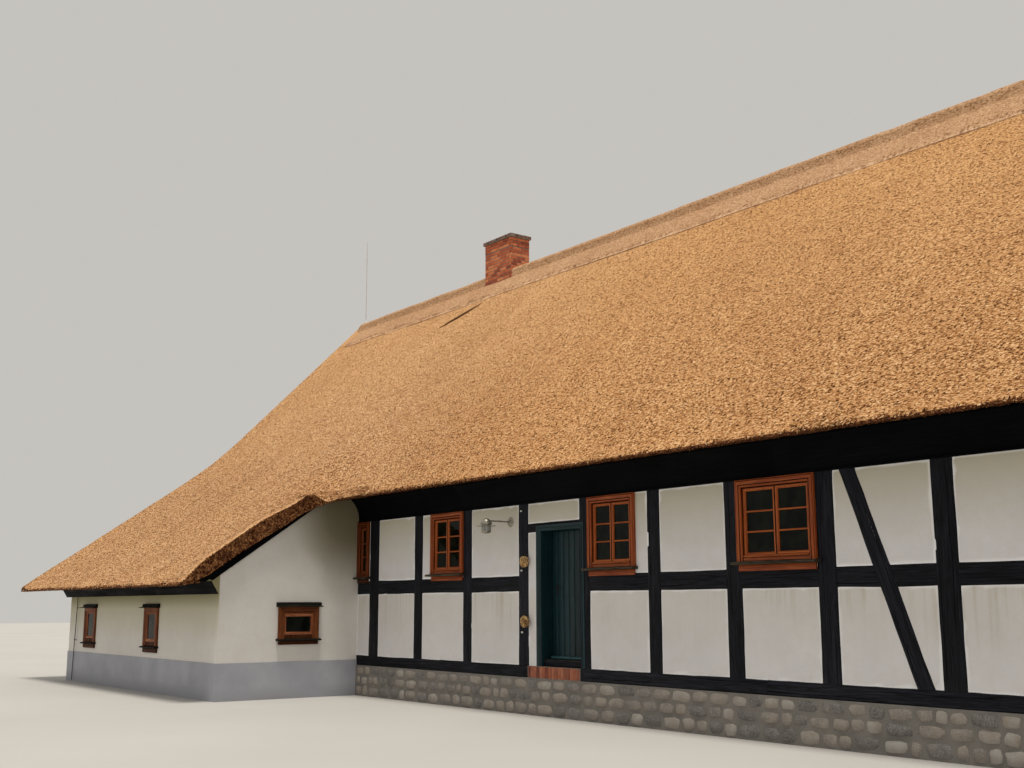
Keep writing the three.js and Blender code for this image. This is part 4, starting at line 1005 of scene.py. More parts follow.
def frame_sides(piece, home, x0, x1, z0, z1, profile, material=0, bottom=True, shade=None):
    """Mitred sides of an upright frame, drawn from its outer edge inwards."""
    foot = 1 if bottom else 0
    bar(piece, home, (x0, z0), (x0, z1), -1, profile, (foot, 1), material, shade=shade)
    bar(piece, home, (x1, z1), (x1, z0), -1, profile, (1, foot), material, shade=shade)
    bar(piece, home, (x0, z1), (x1, z1), -1, profile, (1, 1), material, shade=shade)
    if bottom:
        bar(piece, home, (x1, z0), (x0, z0), -1, profile, (1, 1), material, shade=shade)


CASING = [
    (0, -0.0005), (0, -0.036), (0.003, -0.041), (0.010, -0.043), (0.014, -0.036), (0.018, -0.036),
    (0.022, -0.045), (0.054, -0.047), (0.061, -0.043), (0.064, -0.030), (0.071, -0.030), (0.075, -0.040),
    (0.088, -0.038), (0.095, -0.030), (0.098, -0.014), (0.104, -0.009), (0.112, -0.009), (0.112, 0.085),
    (0.072, 0.085), (0.072, -0.0005),
]
CASING_SHADE_LINES = [(0.0135, 0.0185, -0.0365), (0.0610, 0.0745, -0.0405), (0.0975, 0.1118, -0.0145)]
SASH_WIDTH = 0.036
SASH = [(0, 0.006), (0.004, -0.004), (0.024, -0.004), (0.028, 0.004), (0.034, 0.008), (SASH_WIDTH, 0.016),
        (SASH_WIDTH, 0.040), (0, 0.040)]
GLAZING_BAR = [(0, 0.036), (0.002, 0.012), (0.008, 0.004), (0.018, 0.004), (0.024, 0.012), (0.026, 0.036)]
PANE_ROWS = 3
BOTTOM_RAIL = [(0, 0.085), (0, -0.018), (0.004, -0.022), (0.040, -0.022), (0.044, -0.010), (0.072, -0.008),
               (0.072, 0.085)]
DRIP_RAIL = [(0, 0.0), (0.004, -0.030), (0.012, -0.036), (0.026, -0.030), (0.038, -0.004), (0.038, 0.004)]
SILL_BOARD = [(-0.010, -0.0005), (-0.010, -0.112), (-0.006, -0.117), (0.020, -0.117), (0.024, -0.112),
              (0.036, -0.0005)]


def window_panes(piece, panes, home, x0, x1, z0, z1):
    """One hinged light: its sash, glazing bars and panes."""
    frame_sides(piece, home, x0, x1, z0, z1, SASH, shade=0.95)
    left, right, low, high = x0 + SASH_WIDTH, x1 - SASH_WIDTH, z0 + SASH_WIDTH, z1 - SASH_WIDTH
    pitch = (high - low) / PANE_ROWS
    for index in range(1, PANE_ROWS):
        z = low + index * pitch - GLAZING_BAR[-1][0] / 2
        bar(piece, home, (left, z), (right, z), 1, GLAZING_BAR, shade=0.95)
    for index in range(PANE_ROWS):
        tilt = rng.uniform(-0.002, 0.002)
        low_z, high_z = low + index * pitch - 0.004, low + (index + 1) * pitch + 0.004
        block(panes, home, (left - 0.006, 0.024 + tilt, low_z), (right + 0.006, 0.029 + tilt, high_z), 0.001)


def casement(piece, panes, home, x0, x1):
    """A casement with a moulded casing, two lights of three panes, a drip rail, a sill and an apron."""
    sill, top, side = CASEMENT["sill"], CASEMENT["top"], CASEMENT["frame"]
    narrow = x1 - x0 < 0.55
    frame_sides(piece, home, x0, x1, sill - 0.004, top, CASING, bottom=False, shade=0.45)
    # Near-black lines in the casing's grooves: painted shade.
    for first, last, depth in CASING_SHADE_LINES:
        line = [(first, depth), (first, depth - 0.0008), (last, depth - 0.0008), (last, depth)]
        frame_sides(piece, home, x0, x1, sill, top, line, 3, bottom=False)
    left, right, low, high = x0 + side + 0.002, x1 - side - 0.002, sill + 0.075, top - side - 0.002
    bar(piece, home, (x0 + side - 0.005, sill), (x1 - side + 0.005, sill), 1, BOTTOM_RAIL, shade=0.4)
    bar(piece, home, (left, low - 0.030), (right, low - 0.030), 1, DRIP_RAIL, shade=1.3)
    if narrow:
        window_panes(piece, panes, home, left, right, low, high)
    else:
        middle = (left + right) / 2
        window_panes(piece, panes, home, left, middle - 0.006, low, high)
        window_panes(piece, panes, home, middle + 0.006, right, low, high)
        # A near-black block between the two lights: painted shade in the gap.
        block(piece, home, (middle - 0.009, -0.0052, low), (middle + 0.009, 0.08, high), 0.001, material=3)
    # The narrow window's sill takes its darkest tone: painted shade of the corner it stands in.
    board = sill - 0.034
    bar(piece, home, (max(x0 - 0.04, 0.002), board), (x1 + 0.035, board), 1, SILL_BOARD, material=1,
        wave=0.0015, shade=0.0 if narrow else lambda share: np.clip(0.9 - 1.6 * share, 0.1, 0.9))
    # The aprons are a little darker as painted shade under the sill, and the narrow window's is dark wood,
    # painted shade of its corner.
    apron = CASEMENT["apron"]
    profile = board_profile(board + SILL_BOARD[0][0] - 0.0005 - apron, -0.026, -0.0005, 0.006)
    bar(piece, home, (x0 + 0.02, apron), (x1 - 0.02, apron), 1, profile, material=2 if narrow else 0,
        shade=0.25)


def add_casements():
    edges = back_posts()
    gable = gable_posts()
    rows = [
        ("narrow_window", "narrow_window_panes", shaded_window_wood, FRONT, FRONT_WINDOWS[:1], ["window_1"],
         ["window_1_glass"]),
        ("front_windows", "front_window_panes", orange_wood, FRONT, FRONT_WINDOWS[1:],
         [f"window_{n}" for n in range(2, 6)], [f"window_{n}_glass" for n in range(2, 6)]),
        ("back_windows", "back_window_panes", orange_wood, BACK, hidden_windows(edges, BACK_WINDOWS),
         [f"back_window_{n}" for n in range(1, 4)], ["back_window_glass"]),
        ("gable_windows", "gable_window_panes", orange_wood, RIGHT, hidden_windows(gable, GABLE_WINDOWS),
         [f"gable_window_{n}" for n in range(1, 3)], ["gable_window_glass"]),
    ]
    for name, pane_name, wood, home, openings, frames, sheets in rows:
        piece, panes = Piece(wood, grey_wood, dark_wood, groove_shade_wood), Piece(glass)
        for x0, x1 in openings:
            casement(piece, panes, home, x0, x1)
        piece.make(name, slot="window_wood", replaces=frames, sharp=30)
        panes.make(pane_name, slot="window_glass", replaces=sheets)


OUTER_CASING = [
    (0, -0.0005), (0, -0.034), (0.004, -0.040), (0.070, -0.042), (0.078, -0.036), (0.082, -0.028),
    (0.088, -0.028), (0.092, -0.033), (0.120, -0.033), (0.126, -0.026), (0.128, -0.012), (0.128, -0.0005),
]
INNER_FRAME = [
    (0, 0.080), (0, -0.020), (0.004, -0.024), (0.026, -0.024), (0.030, -0.014), (0.034, -0.012),
    (0.048, -0.014), (0.052, -0.006), (0.052, 0.080),
]
THIN_SILL = [(0, -0.0005), (0.004, -0.084), (0.010, -0.09), (0.024, -0.09), (0.030, -0.086), (0.045, -0.0005)]


def small_window(piece, panes, home, size, x0):
    """A small fixed light in a stepped casing, under a slanting hood and over a thin sill."""
    x1 = x0 + size["width"]
    left, right = x0 + 0.04, x1 - 0.04
    (sill_low, sill_top), (hood_low, hood_top) = size["sill"], size["hood"]
    half = (size["width"] - size["glass"]) / 2
    low, high = size["light"]
    frame_sides(piece, home, left, right, sill_top, hood_low, OUTER_CASING, bottom=False)
    inner_left, inner_right = x0 + half - 0.06, x1 - half + 0.06
    inner_low, inner_high = low - 0.06, high + 0.06
    frame_sides(piece, home, inner_left, inner_right, inner_low, inner_high, INNER_FRAME, material=1)
    gaps = (
        (left + 0.12, inner_left + 0.004, sill_top, hood_low - 0.11),
        (inner_right - 0.004, right - 0.12, sill_top, hood_low - 0.11),
        (inner_left, inner_right, sill_top, inner_low + 0.004),
        (inner_left, inner_right, inner_high - 0.004, hood_low - 0.11),
    )
    for gap_left, gap_right, gap_low, gap_high in gaps:
        if gap_right - gap_left > 0.006 and gap_high - gap_low > 0.006:
            block(piece, home, (gap_left, -0.018, gap_low), (gap_right, 0.03, gap_high), 0.002, material=2)
    apron = board_profile(sill_low - size["low"], -0.036, -0.0005, 0.006)
    bar(piece, home, (left + 0.01, size["low"]), (right - 0.01, size["low"]), 1, apron, material=2)
    bar(piece, home, (x0 + 0.005, sill_low), (x1 - 0.005, sill_low), 1, THIN_SILL, material=3, wave=0.002)
    thick = hood_top - hood_low
    hood = [(-0.006, -0.0005), (-0.008, -0.120), (-0.004, -0.132), (0.008, -0.132), (0.016, -0.062),
            (thick + 0.018, -0.054), (thick + 0.024, -0.0005)]
    bar(piece, home, (x0, hood_low), (x1, hood_low), 1, hood, material=3, wave=0.002)
    block(panes, home, (x0 + half - 0.012, -0.002, low - 0.012), (x1 - half + 0.012, 0.003, high + 0.012),
          0.001)


def add_small_windows():
    piece, panes = Piece(aged_wood, salmon_wood, dark_wood, hood_wood), Piece(glass)
    for x in WING_WINDOWS:
        small_window(piece, panes, WING_FRONT, SMALL_WINDOW, x)
    small_window(piece, panes, WING_SIDE, SIDE_WINDOW, SIDE_WINDOW_START)
    small_window(piece, panes, LEFT, SMALL_WINDOW, LEFT_WINDOW_START)
    names = ["wing_window_1", "wing_window_2", "wing_side_window", "left_window"]
    piece.make("small_windows", slot="aged_wood", replaces=names, sharp=30)
    panes.make("small_window_panes", slot="window_glass", replaces=[f"{name}_glass" for name in names])


# Door

def jamb(width):
    """The moulded outline of one side of the door's surround."""
    return [
        (0, 0.262), (0, -0.012), (0.003, -0.016), (0.4 * width, -0.018), (0.45 * width, -0.012),
        (0.52 * width, -0.012), (0.57 * width, -0.022), (0.66 * width, -0.026), (0.74 * width, -0.022),
        (0.80 * width, -0.012), (0.95 * width, -0.010), (width, -0.004), (width, 0.262),
    ]


def add_door_surround():
    piece = Piece(teal_paint, dark_metal)
    left, right, head = DOOR["left"], DOOR["right"], DOOR["head"]
    clear_left, clear_right = DOOR["clear"]
    low = LEVEL["sill"] + 0.001
    left_width, right_width, head_width = clear_left - left, right - clear_right, head - DOOR["clear_top"]
    bar(piece, FRONT, (left, low), (left, head), -1, jamb(left_width), (0, head_width / left_width))
    bar(piece, FRONT, (right, head), (right, low), -1, jamb(right_width), (head_width / right_width, 0))
    start, end = (left, head), (right, head)
    bar(piece, FRONT, start, end, -1, jamb(head_width), (left_width / head_width, right_width / head_width))
    for z in HINGE["heights"]:
        knuckle(piece, z - HINGE["knuckle"], z)
        x, y = HINGE["x"], LEAF["back"]
        block(piece, FRONT, (x, y + 0.0005, z - 0.058), (x + 0.06, y + 0.006, z - 0.002), 0.001, material=1)
    piece.make("door_surround", slot="door_paint", replaces=("door_frame",))


THRESHOLD_EDGE = [(0, 0.060), (0, 0.046), (0.003, 0.043), (0.008, 0.043), (0.010, 0.046), (0.010, 0.060)]
WEATHER_BAR = [(0, 0.208), (0, 0.176), (0.004, 0.172), (0.014, 0.168), (0.036, 0.172), (0.046, 0.186),
               (0.048, 0.208)]


def add_door_threshold():
    """The black threshold with its worn front edge, and the weather bar under the leaf."""
    beam = Piece(black_timber, lit_teal, grey_wood)
    left, right = DOOR["clear"]
    top, foot = LEVEL["floor"] + 0.002, LEAF["foot"]
    rail(beam, FRONT, left + 0.001, right - 0.001, LEVEL["sill"] + 0.002, top, face=0.044, back=WALL,
         grow=0.0, notched=0)
    edge = top - 0.006
    bar(beam, FRONT, (left + 0.002, edge), (right - 0.002, edge), 1, THRESHOLD_EDGE, material=2, wave=0.001)
    # The weather bar in the lighter teal: a painted highlight along its top.
    bar(beam, FRONT, (LEAF["left"], foot), (LEAF["right"], foot), 1, WEATHER_BAR, material=1)
    rail(beam, FRONT, LEAF["left"], LEAF["right"], top + 0.0005, foot - 0.0005, face=0.176, back=0.206,
         wave=0, grow=0, notched=0)
    beam.make("door_threshold_beam", slot="black_timber", replaces=("door_threshold",))


def add_lintel():
    """The lintel over the door, and the filling beside the surround's head."""
    lintel = Piece(black_timber)
    left, right = DOORWAY[0] + 0.001, DOORWAY[1] - 0.001
    rail(lintel, FRONT, left, right, DOOR["head"] + 0.004, LINTEL["top"], wave=0.004, grow=0.002)
    rail(lintel, FRONT, left, DOOR["left"] - 0.002, LINTEL["low"], DOOR["head"] + 0.006, wave=0.003,
         grow=0.002)
    lintel.make("lintel_timber", slot="black_timber", replaces=("door_lintel",))


def knuckle(piece, low, high):
    """A hinge barrel with its rims broken, on the hinge's own line. Metal is the piece's second material."""
    radius, edge = HINGE["radius"], 0.002
    profile = [(0, low), (radius - edge, low), (radius, low + edge), (radius, high - edge),
               (radius - edge, high), (0, high)]
    lathe(piece, at(FRONT, HINGE["x"], HINGE["y"], 0), profile, 16, material=1)


NAIL = [(0, -0.004), (0.011, -0.004), (0.011, 0.001), (0.007, 0.004), (0, 0.005)]
RIVET = [(0, -0.003), (0.008, -0.003), (0.008, 0.001), (0.004, 0.003), (0, 0.0035)]
SCREW = [(0, -0.001), (0.005, -0.001), (0.005, 0.002), (0.003, 0.0035), (0, 0.0035)]


def add_door_leaf():
    """Planks nailed to three ledges, on two strap hinges."""
    piece = Piece(teal_paint, dark_metal)
    left, right, front, back = (LEAF[key] for key in ("left", "right", "front", "back"))
    foot, top = LEAF["foot"], LEAF["top"]
    pitch = (right - left) / LEAF["planks"]
    edge = [(0.0015, front + 0.024), (0.0015, front + 0.012), (0.009, front + 0.0015),
            (0.014, front + 0.0002)]
    plank = edge + [(pitch - offset, depth) for offset, depth in reversed(edge)]
    for index in range(LEAF["planks"]):
        start = left + index * pitch
        bar(piece, FRONT, (start, foot), (start, top), -1, plank)
    block(piece, FRONT, (left + 0.004, front + 0.022, foot), (right - 0.004, front + 0.026, top), 0.001)
    for z in LEAF["ledges"]:
        block(piece, FRONT, (left + 0.03, front + 0.025, z - 0.07), (right - 0.03, back - 0.001, z + 0.07),
              along=0)
        for index in range(LEAF["planks"]):
            for side in (0.3, 0.7):
                x = left + (index + side) * pitch + rng.uniform(-0.006, 0.006)
                lathe(piece, at(FRONT, x, front, z + rng.uniform(-0.02, 0.02), OUT), NAIL, 8, 1)
    for z in HINGE["heights"]:
        knuckle(piece, z + 0.001, z + HINGE["knuckle"])
        block(piece, FRONT, (right - 0.32, back + 0.0005, z + 0.006),
              (HINGE["x"] - 0.006, back + 0.0075, z + 0.054), 0.0015, material=1, along=0)
        for inset in (0.29, 0.19, 0.09):
            lathe(piece, at(FRONT, right - inset, back + 0.0072, z + 0.03, IN), RIVET, 8, 1)
    piece.make("door_planks", body="front_door", slot="door_paint", replaces=("door_leaf",))


def add_door_handle():
    """A lever on its round rose, over a plate with a keyhole's ring and two screws."""
    piece = Piece(dark_metal)
    x, z, face = HANDLE["x"], HANDLE["z"], LEAF["front"]
    block(piece, FRONT, (x - 0.022, face - 0.006, z - 0.108), (x + 0.022, face + 0.001, z + 0.072), 0.003)
    rose = [(0.016, 0.0), (0.016, 0.008), (0.010, 0.012), (0.009, 0.04), (0.011, 0.048), (0, 0.05)]
    lathe(piece, at(FRONT, x, face, z, OUT), rose, 16)
    path = [(x + 0.012 * t, face - 0.046 - 0.004 * math.sin(t / 10 * math.pi), z - 0.0006 * t * t / 3)
            for t in np.linspace(-0.6, 10, 12)]
    wire(piece, FRONT, path, 0.0095, 12, taper=[0.4, 0.95, 1, 0.9, 0.85, 0.8, 0.8, 0.85, 0.9, 1, 1.05, 0.5])
    ring = [(0.010, -0.001), (0.010, 0.003), (0.006, 0.004), (0.005, 0.001), (0, 0.001)]
    lathe(piece, at(FRONT, x, face - 0.006, z - 0.07, OUT), ring, 14)
    for height in (-0.096, 0.06):
        screw = [(0.005, -0.001), (0.005, 0.001), (0.003, 0.002), (0, 0.0022)]
        lathe(piece, at(FRONT, x, face - 0.006, z + height, OUT), screw, 10)
    piece.make("lever_handle", body="front_door", slot="dark_metal", replaces=("door_handle",))


# Roof. Heights of the thatch's upper and lower faces over the plan, as in the model.

MAIN_SLOPE = 1.0
MAIN_RISE = THATCH * math.hypot(1, MAIN_SLOPE)
CATSLIDE_RISE = THATCH * math.hypot(1, CATSLIDE["slope"])
MAIN_CUT_END = EAVE["y"] + (MAIN_RISE - EAVE["tip"]) / (MAIN_SLOPE - EAVE["cut"])
CATSLIDE_CUT_END = CATSLIDE["y"] + (CATSLIDE_RISE - EAVE["tip"]) / (CATSLIDE["slope"] - CATSLIDE["cut"])


def main_top(y):
    return EAVE["z"] + EAVE["tip"] + MAIN_SLOPE * (np.asarray(y) - EAVE["y"])


def main_cut(y):
    return EAVE["z"] + EAVE["cut"] * (np.asarray(y) - EAVE["y"])


def main_under(y):
    return np.maximum(main_top(y) - MAIN_RISE, main_cut(y))


def catslide_top(y):
    return CATSLIDE["z"] + EAVE["tip"] + CATSLIDE["slope"] * (np.asarray(y) - CATSLIDE["y"])


def catslide_under(y):
    cut = CATSLIDE["z"] + CATSLIDE["cut"] * (np.asarray(y) - CATSLIDE["y"])
    return np.maximum(catslide_top(y) - CATSLIDE_RISE, cut)


CATSLIDE_HEAD = float((catslide_top(0) - main_top(0)) / (MAIN_SLOPE - CATSLIDE["slope"]))


def swept_top(y):
    """The upper face beside the wing, where its thatch sweeps up into the main slope."""
    y = np.asarray(y, float)
    start, end = CATSLIDE["sweep"]
    t = (y - start) / (end - start)
    chord = catslide_top(start) * (1 - t) + main_top(end) * t
    return np.where(y <= start, catslide_top(y), np.where(y >= end, main_top(y), chord))


def swept_under(y):
    return np.maximum(main_top(y) - MAIN_RISE, np.minimum(catslide_under(y), main_cut(y)))


def verge_lift(x):
    """How far the slopes rise to the left verge."""
    return 0.078 * ease(1 - (np.asarray(x) - VERGE["left"]) / 0.55)


def hollow_fill(y):
    """Thatch packed into the bend where the wing's slope meets the main one."""
    return 0.055 * np.clip(1 - np.abs(catslide_top(y) - main_top(y)) / 0.24, 0, 1) ** 2


def verge_swell(x, y):
    """How far the wing's thatch is packed up above its slope along the swept verge."""
    along = ease((-1.35 - np.asarray(y)) / 0.9) * ease((np.asarray(y) - CATSLIDE["y"]) / 0.5)
    return 0.12 * along * ease((np.asarray(x) + 0.8) / 0.9)


def verge_undercut(y):
    """How far the wing's thatch is cut back above its verge board."""
    return (0.035 + 0.085 * ease((-1.4 - np.asarray(y)) / 1.3)) * ease((np.asarray(y) + 3.508) / 0.5)


def roof_top(x, y):
    plain = np.maximum(catslide_top(y), main_top(y))
    share = ease((np.asarray(x) + CATSLIDE["blend"]) / CATSLIDE["blend"])
    top = plain + (np.where(np.asarray(y) >= CATSLIDE_HEAD, plain, swept_top(y)) - plain) * share
    return top + hollow_fill(y) * (1 - share) + verge_swell(x, y) + verge_lift(x)


def back_top(x, y):
    return main_top(y) + verge_lift(x)


def plain_top(x, y):
    return main_top(y) + 0 * x


def roof_under(x, y):
    plain = np.maximum(catslide_under(y), main_top(y) - MAIN_RISE)
    share = ease((np.asarray(x) + CATSLIDE["blend"]) / CATSLIDE["blend"])
    under = plain + (swept_under(y) - plain) * share
    return under + verge_undercut(y) * np.clip(np.asarray(x) / VERGE_STEP, 0, 1)


def eave_under(y):
    """The main eave's underside, cut up a little towards its tip."""
    return main_under(y) + 0.028 * ease((MAIN_CUT_END - np.asarray(y)) / 0.25)


def plain_under(x, y):
    return eave_under(y) + 0 * x


def corner_top(x, y):
    """The upper face where the wing's swept end turns into the main eave."""
    share = ease((np.asarray(x) - VERGE["wing"]) / (CORNER["outer"][2][0] - VERGE["wing"]))
    swept = np.where(np.asarray(x) < 0, roof_top(x, y), swept_top(y))
    return swept * (1 - share) + main_top(y) * share


VERGE_STEP = 0.045
TIP = EAVE["y"] + 0.025
CORNER_START, CORNER_END = -1.27, 1.15
FRONT_SEED, BACK_SEED = 41, 51
CORNER = {
    "outer": ((0.15, -1.30), (0.17, -0.62), (CORNER_END, TIP)),
    "inner": ((-0.08, -1.30), (-0.30, -0.10), (CORNER_END, -0.42)),
    "foot": 3.668, "dip": 0.302, "turn": (0.16, 0.44), "lip": 0.04,
}


def curve(points, t):
    """A curve in a plane from the first of three points to the last."""
    first, second, third = (np.array(point) for point in points)
    t = np.ravel(t)[:, None]
    return first * (1 - t) ** 2 + 2 * second * t * (1 - t) + third * t * t


def corner_patch(t, r):
    """Points on the swept corner and the eave's foot there. t runs along the eave and r out to it."""
    inner, outer = curve(CORNER["inner"], t), curve(CORNER["outer"], t)
    x, y = (inner * (1 - r[:, None]) + outer * r[:, None]).T
    foot = CORNER["foot"] - CORNER["dip"] * (1 - t) ** 2.2
    head = corner_top(outer[:, 0], outer[:, 1])
    start, end = CORNER["turn"]
    thick = CORNER["lip"] + (head - foot - CORNER["lip"]) * (1 - ease((t - start) / (end - start)))
    z = corner_top(x, y) - (head - foot - thick) * r ** 2.6 - 0.02 * r ** 4 + 0.005
    return x, y, z + thatch_relief(x, y, FRONT_SEED), foot


def thatch_relief(x, y, seed):
    """How far the dressed thatch stands off its plane."""
    return (0.010 * rumple(x, y, 1.7, seed) + 0.005 * rumple(x, y, 0.45, seed + 1)
            + 0.003 * rumple(x, y, 0.14, seed + 2) + 0.002 * rumple(x, y, 0.055, seed + 3))


def rounded_drop(distance, radius=0.06):
    """How far a surface falls where it rounds over an edge at this distance."""
    near = np.clip(1 - np.asarray(distance) / radius, 0, 1)
    return radius * (1 - np.sqrt(1 - 0.95 * near * near))


def eave_drop(distance):
    """How far the upper face falls at this distance from an eave's tip."""
    return rounded_drop(distance, ROUNDED["eave"]) * 0.35


def add_slope(home, x0, x1, tip, top, under, materials, step, seed, low_rows, drop, verges, extra=()):
    """A slope of thatch between two height fields, closed underneath.

    It has low_rows along its underside and a step between its upper points. A drop function leaves places
    out, verges are the radii of its rounded ends, and extra are more places along X.
    """
    columns = int(round((x1 - x0) / step[0])) + 1
    ends = [x0 + inset for inset in (0.015, 0.04) if verges[0] > 0.04]
    ends += [x1 - inset for inset in (0.015, 0.04) if verges[1] > 0.04]
    xs = np.unique(np.concatenate([np.linspace(x0, x1, columns), ends, extra]))
    columns = len(xs)
    steps = np.arange(tip + 0.08, RIDGE["y"] - 0.02, step[1])
    top_rows = np.concatenate([tip + np.array([0.004, 0.018, 0.04]), steps, [RIDGE["y"]]])
    rag = 0.012 * ripple(xs, 0.9) + 0.007 * ripple(xs, 0.2) + rng.uniform(-0.006, 0.006, columns)
    ends_drop = np.zeros(columns)
    for distance, radius in ((xs - x0, verges[0]), (x1 - xs, verges[1])):
        if radius:
            ends_drop += rounded_drop(distance, radius)
    rings = []
    for y in low_rows:
        z = under(xs, y) + 0.010 * rumple(xs, np.full(columns, y), 0.12, seed + 7)
        shift = rag * np.clip(1 - (y - tip) / 0.3, 0, 1)
        rings.append(xyz(xs, y - shift, z + 0.2 * np.minimum(ends_drop, 0.04)))
    for y in top_rows:
        relief = thatch_relief(xs, np.full(columns, y), seed)
        fade = np.clip((y - tip) / 0.1, 0.15, 1)
        z = top(xs, y) + relief * fade - eave_drop(y - tip) - ends_drop
        shift = rag * np.clip(1 - (y - tip) / 0.3, 0, 1)
        rings.append(xyz(xs, y - shift, z))
    points = np.stack(rings)
    rows = len(rings)
    middle_y = (points[:-1, :-1, 1] + points[1:, :-1, 1]) / 2
    middle_x = (points[:-1, 1:, 0] + points[:-1, :-1, 0]) / 2
    keep = ~drop(middle_x, middle_y)
    upper = (np.arange(rows - 1) > len(low_rows))[:, None]
    piece = Piece(*materials)
    piece.add(home, points, sheet_faces(rows, columns, keep & upper), 0, shade=0.5)
    piece.add(home, points, sheet_faces(rows, columns, keep & ~upper), 1, shade=0.3)
    return piece


def add_cap(piece, home, x, out, ys, top, under, seed, radius):
    """The cut end of a slope at a verge, ragged and slightly bulging. It faces X or, where out is -1, -X."""
    levels = 7
    share = np.linspace(0, 1, levels)[:, None]
    y = np.broadcast_to(ys, (levels, len(ys)))
    edge = np.full(len(ys), x)
    z = (top(edge, ys) - rounded_drop(0, radius)) * (1 - share) + under(edge, ys) * share
    bulge = 0.004 + 0.010 * rumple(y, z, 0.09, seed) + 0.006 * rumple(y, z, 0.04, seed + 1)
    points = xyz(x + out * bulge * np.sin(share * math.pi), y, z)
    piece.add(home, points, sheet_faces(levels, len(ys)), 1, shade=rng.random((levels, len(ys))))


def add_corner(piece):
    """The swept end: a rounded corner whose cut face runs out into the main eave's thin tip."""
    along, across = 61, 15
    t, r = np.linspace(0, 1, along), np.linspace(0, 1, across)
    tt, rr = (grid.ravel() for grid in np.meshgrid(t, r, indexing="ij"))
    x, y, z, _ = corner_patch(tt, rr)
    rag = 0.010 * ripple(t, 0.25) * np.sin(math.pi * t)
    y = y - (rag[:, None] * r[None, :] ** 2).ravel()
    top = xyz(x, y, z)
    piece.add(HOME, top, sheet_faces(along, across), 0, shade=0.5)
    outer = top.reshape(along, across, 3)[:, -1]
    foot = corner_patch(t, np.ones(along))[3] + 0.006 * ripple(t, 0.06)
    share = np.linspace(0, 1, 6)[None, :]
    ahead = np.gradient(outer[:, :2], axis=0)
    out = np.stack([ahead[:, 1], -ahead[:, 0]], -1) / np.linalg.norm(ahead, axis=1)[:, None]
    height = outer[:, 2, None] * (1 - share) + foot[:, None] * share
    bulge = 0.010 * rumple(outer[:, 1, None] * 1.7 + 0 * share, height, 0.07, 77) * np.sin(math.pi * share)
    face = xyz(outer[:, 0, None] + out[:, 0, None] * bulge, outer[:, 1, None] + out[:, 1, None] * bulge,
               height)
    piece.add(HOME, face, sheet_faces(along, 6), 1, shade=rng.random((along, 6)))
    under_outer = swept_under(outer[:, 1])
    inner = swept_under(y.reshape(along, across))
    z = inner + (foot - under_outer)[:, None] * r[None, :] ** 2 - 0.004 * (1 - r[None, :])
    low = xyz(x.reshape(along, across), y.reshape(along, across), z)
    piece.add(HOME, low, sheet_faces(along, across), 1, shade=0.3)
    add_corner_reeds(piece, 420)


def add_corner_reeds(piece, count):
    """Reed ends over the swept corner's cut face, most of them where it is highest."""
    pick = rng.random(count) ** 1.6
    x, y, high, foot = corner_patch(pick, np.ones(count))
    share = rng.random(count)
    base = xyz(x, y, high * (1 - share) + foot * share)
    stubs(piece, HOME, base, (0.7, -0.7, -0.3), 0.3, (0.004, 0.026), (0.014, 0.028))


THIRDS = (0, 2.094, 4.189)


def stubs(piece, home, base, direction, lean, length, width, material=1):
    """Cut reed ends, each a thin three-sided spike pointing out of the thatch."""
    count = len(base)
    direction = np.broadcast_to(direction, (count, 3)) + rng.normal(0, lean, (count, 3))
    direction /= np.linalg.norm(direction, axis=1)[:, None]
    helper = np.where(np.abs(direction[:, [2]]) > 0.8, [[1.0, 0, 0]], [[0, 0, 1.0]])
    side = np.cross(direction, helper)
    side /= np.linalg.norm(side, axis=1)[:, None]
    other = np.cross(direction, side)
    reach = rng.uniform(*length, (count, 1))
    half = rng.uniform(*width, (count, 1)) / 2
    root = base - direction * 0.03
    tip = base + direction * reach
    points = []
    for end, share in ((root, 1.0), (tip, 0.75)):
        for angle in THIRDS:
            points.append(end + half * share * (math.cos(angle) * side + math.sin(angle) * other))
    points = np.stack(points, 1)
    start = np.arange(count)[:, None] * 6
    quads = np.concatenate([start + np.array(row) for row in ((0, 1, 4, 3), (1, 2, 5, 4), (2, 0, 3, 5))])
    tips = start + np.array((3, 4, 5))
    piece.add(home, points, [quads, tips], material, shade=np.repeat(rng.random(count), 6))


def tufts(piece, home, x, y, z, slope, length, width, lift):
    """Small bundles of reeds lying down a slope, each a closed sliver whose lower end stands off."""
    count = len(x)
    slope = np.broadcast_to(slope, count)
    run = 1 / np.sqrt(1 + slope ** 2)
    down = xyz(rng.normal(0, 0.10, count), -run, -slope * run)
    normal = xyz(0, -slope * run, run)
    side = np.cross(down, normal)
    centre = xyz(x, y, z)
    reach = rng.uniform(*length, (count, 1))
    half = rng.uniform(*width, (count, 1)) / 2
    rise = rng.uniform(*lift, (count, 1))
    head = centre - down * reach * 0.6 - normal * 0.003
    left = centre + down * reach * 0.4 + side * half + normal * rise
    right = centre + down * reach * 0.4 - side * half + normal * rise
    foot = centre + down * reach * 0.36 - normal * 0.006
    points = np.stack([head, left, right, foot], 1)
    start = np.arange(count)[:, None] * 4
    corners = ((0, 1, 2), (0, 3, 1), (0, 2, 3), (1, 3, 2))
    triangles = np.concatenate([start + np.array(row) for row in corners])
    piece.add(home, points, triangles, 0, shade=np.repeat(rng.random(count), 4))


def in_chimney(x, y, margin):
    """Whether a place is inside the chimney or less than this margin from it."""
    (x0, x1), (y0, y1) = CHIMNEY["x"], CHIMNEY["y"]
    return (x > x0 - margin) & (x < x1 + margin) & (y > y0 - margin) & (y < y1 + margin)


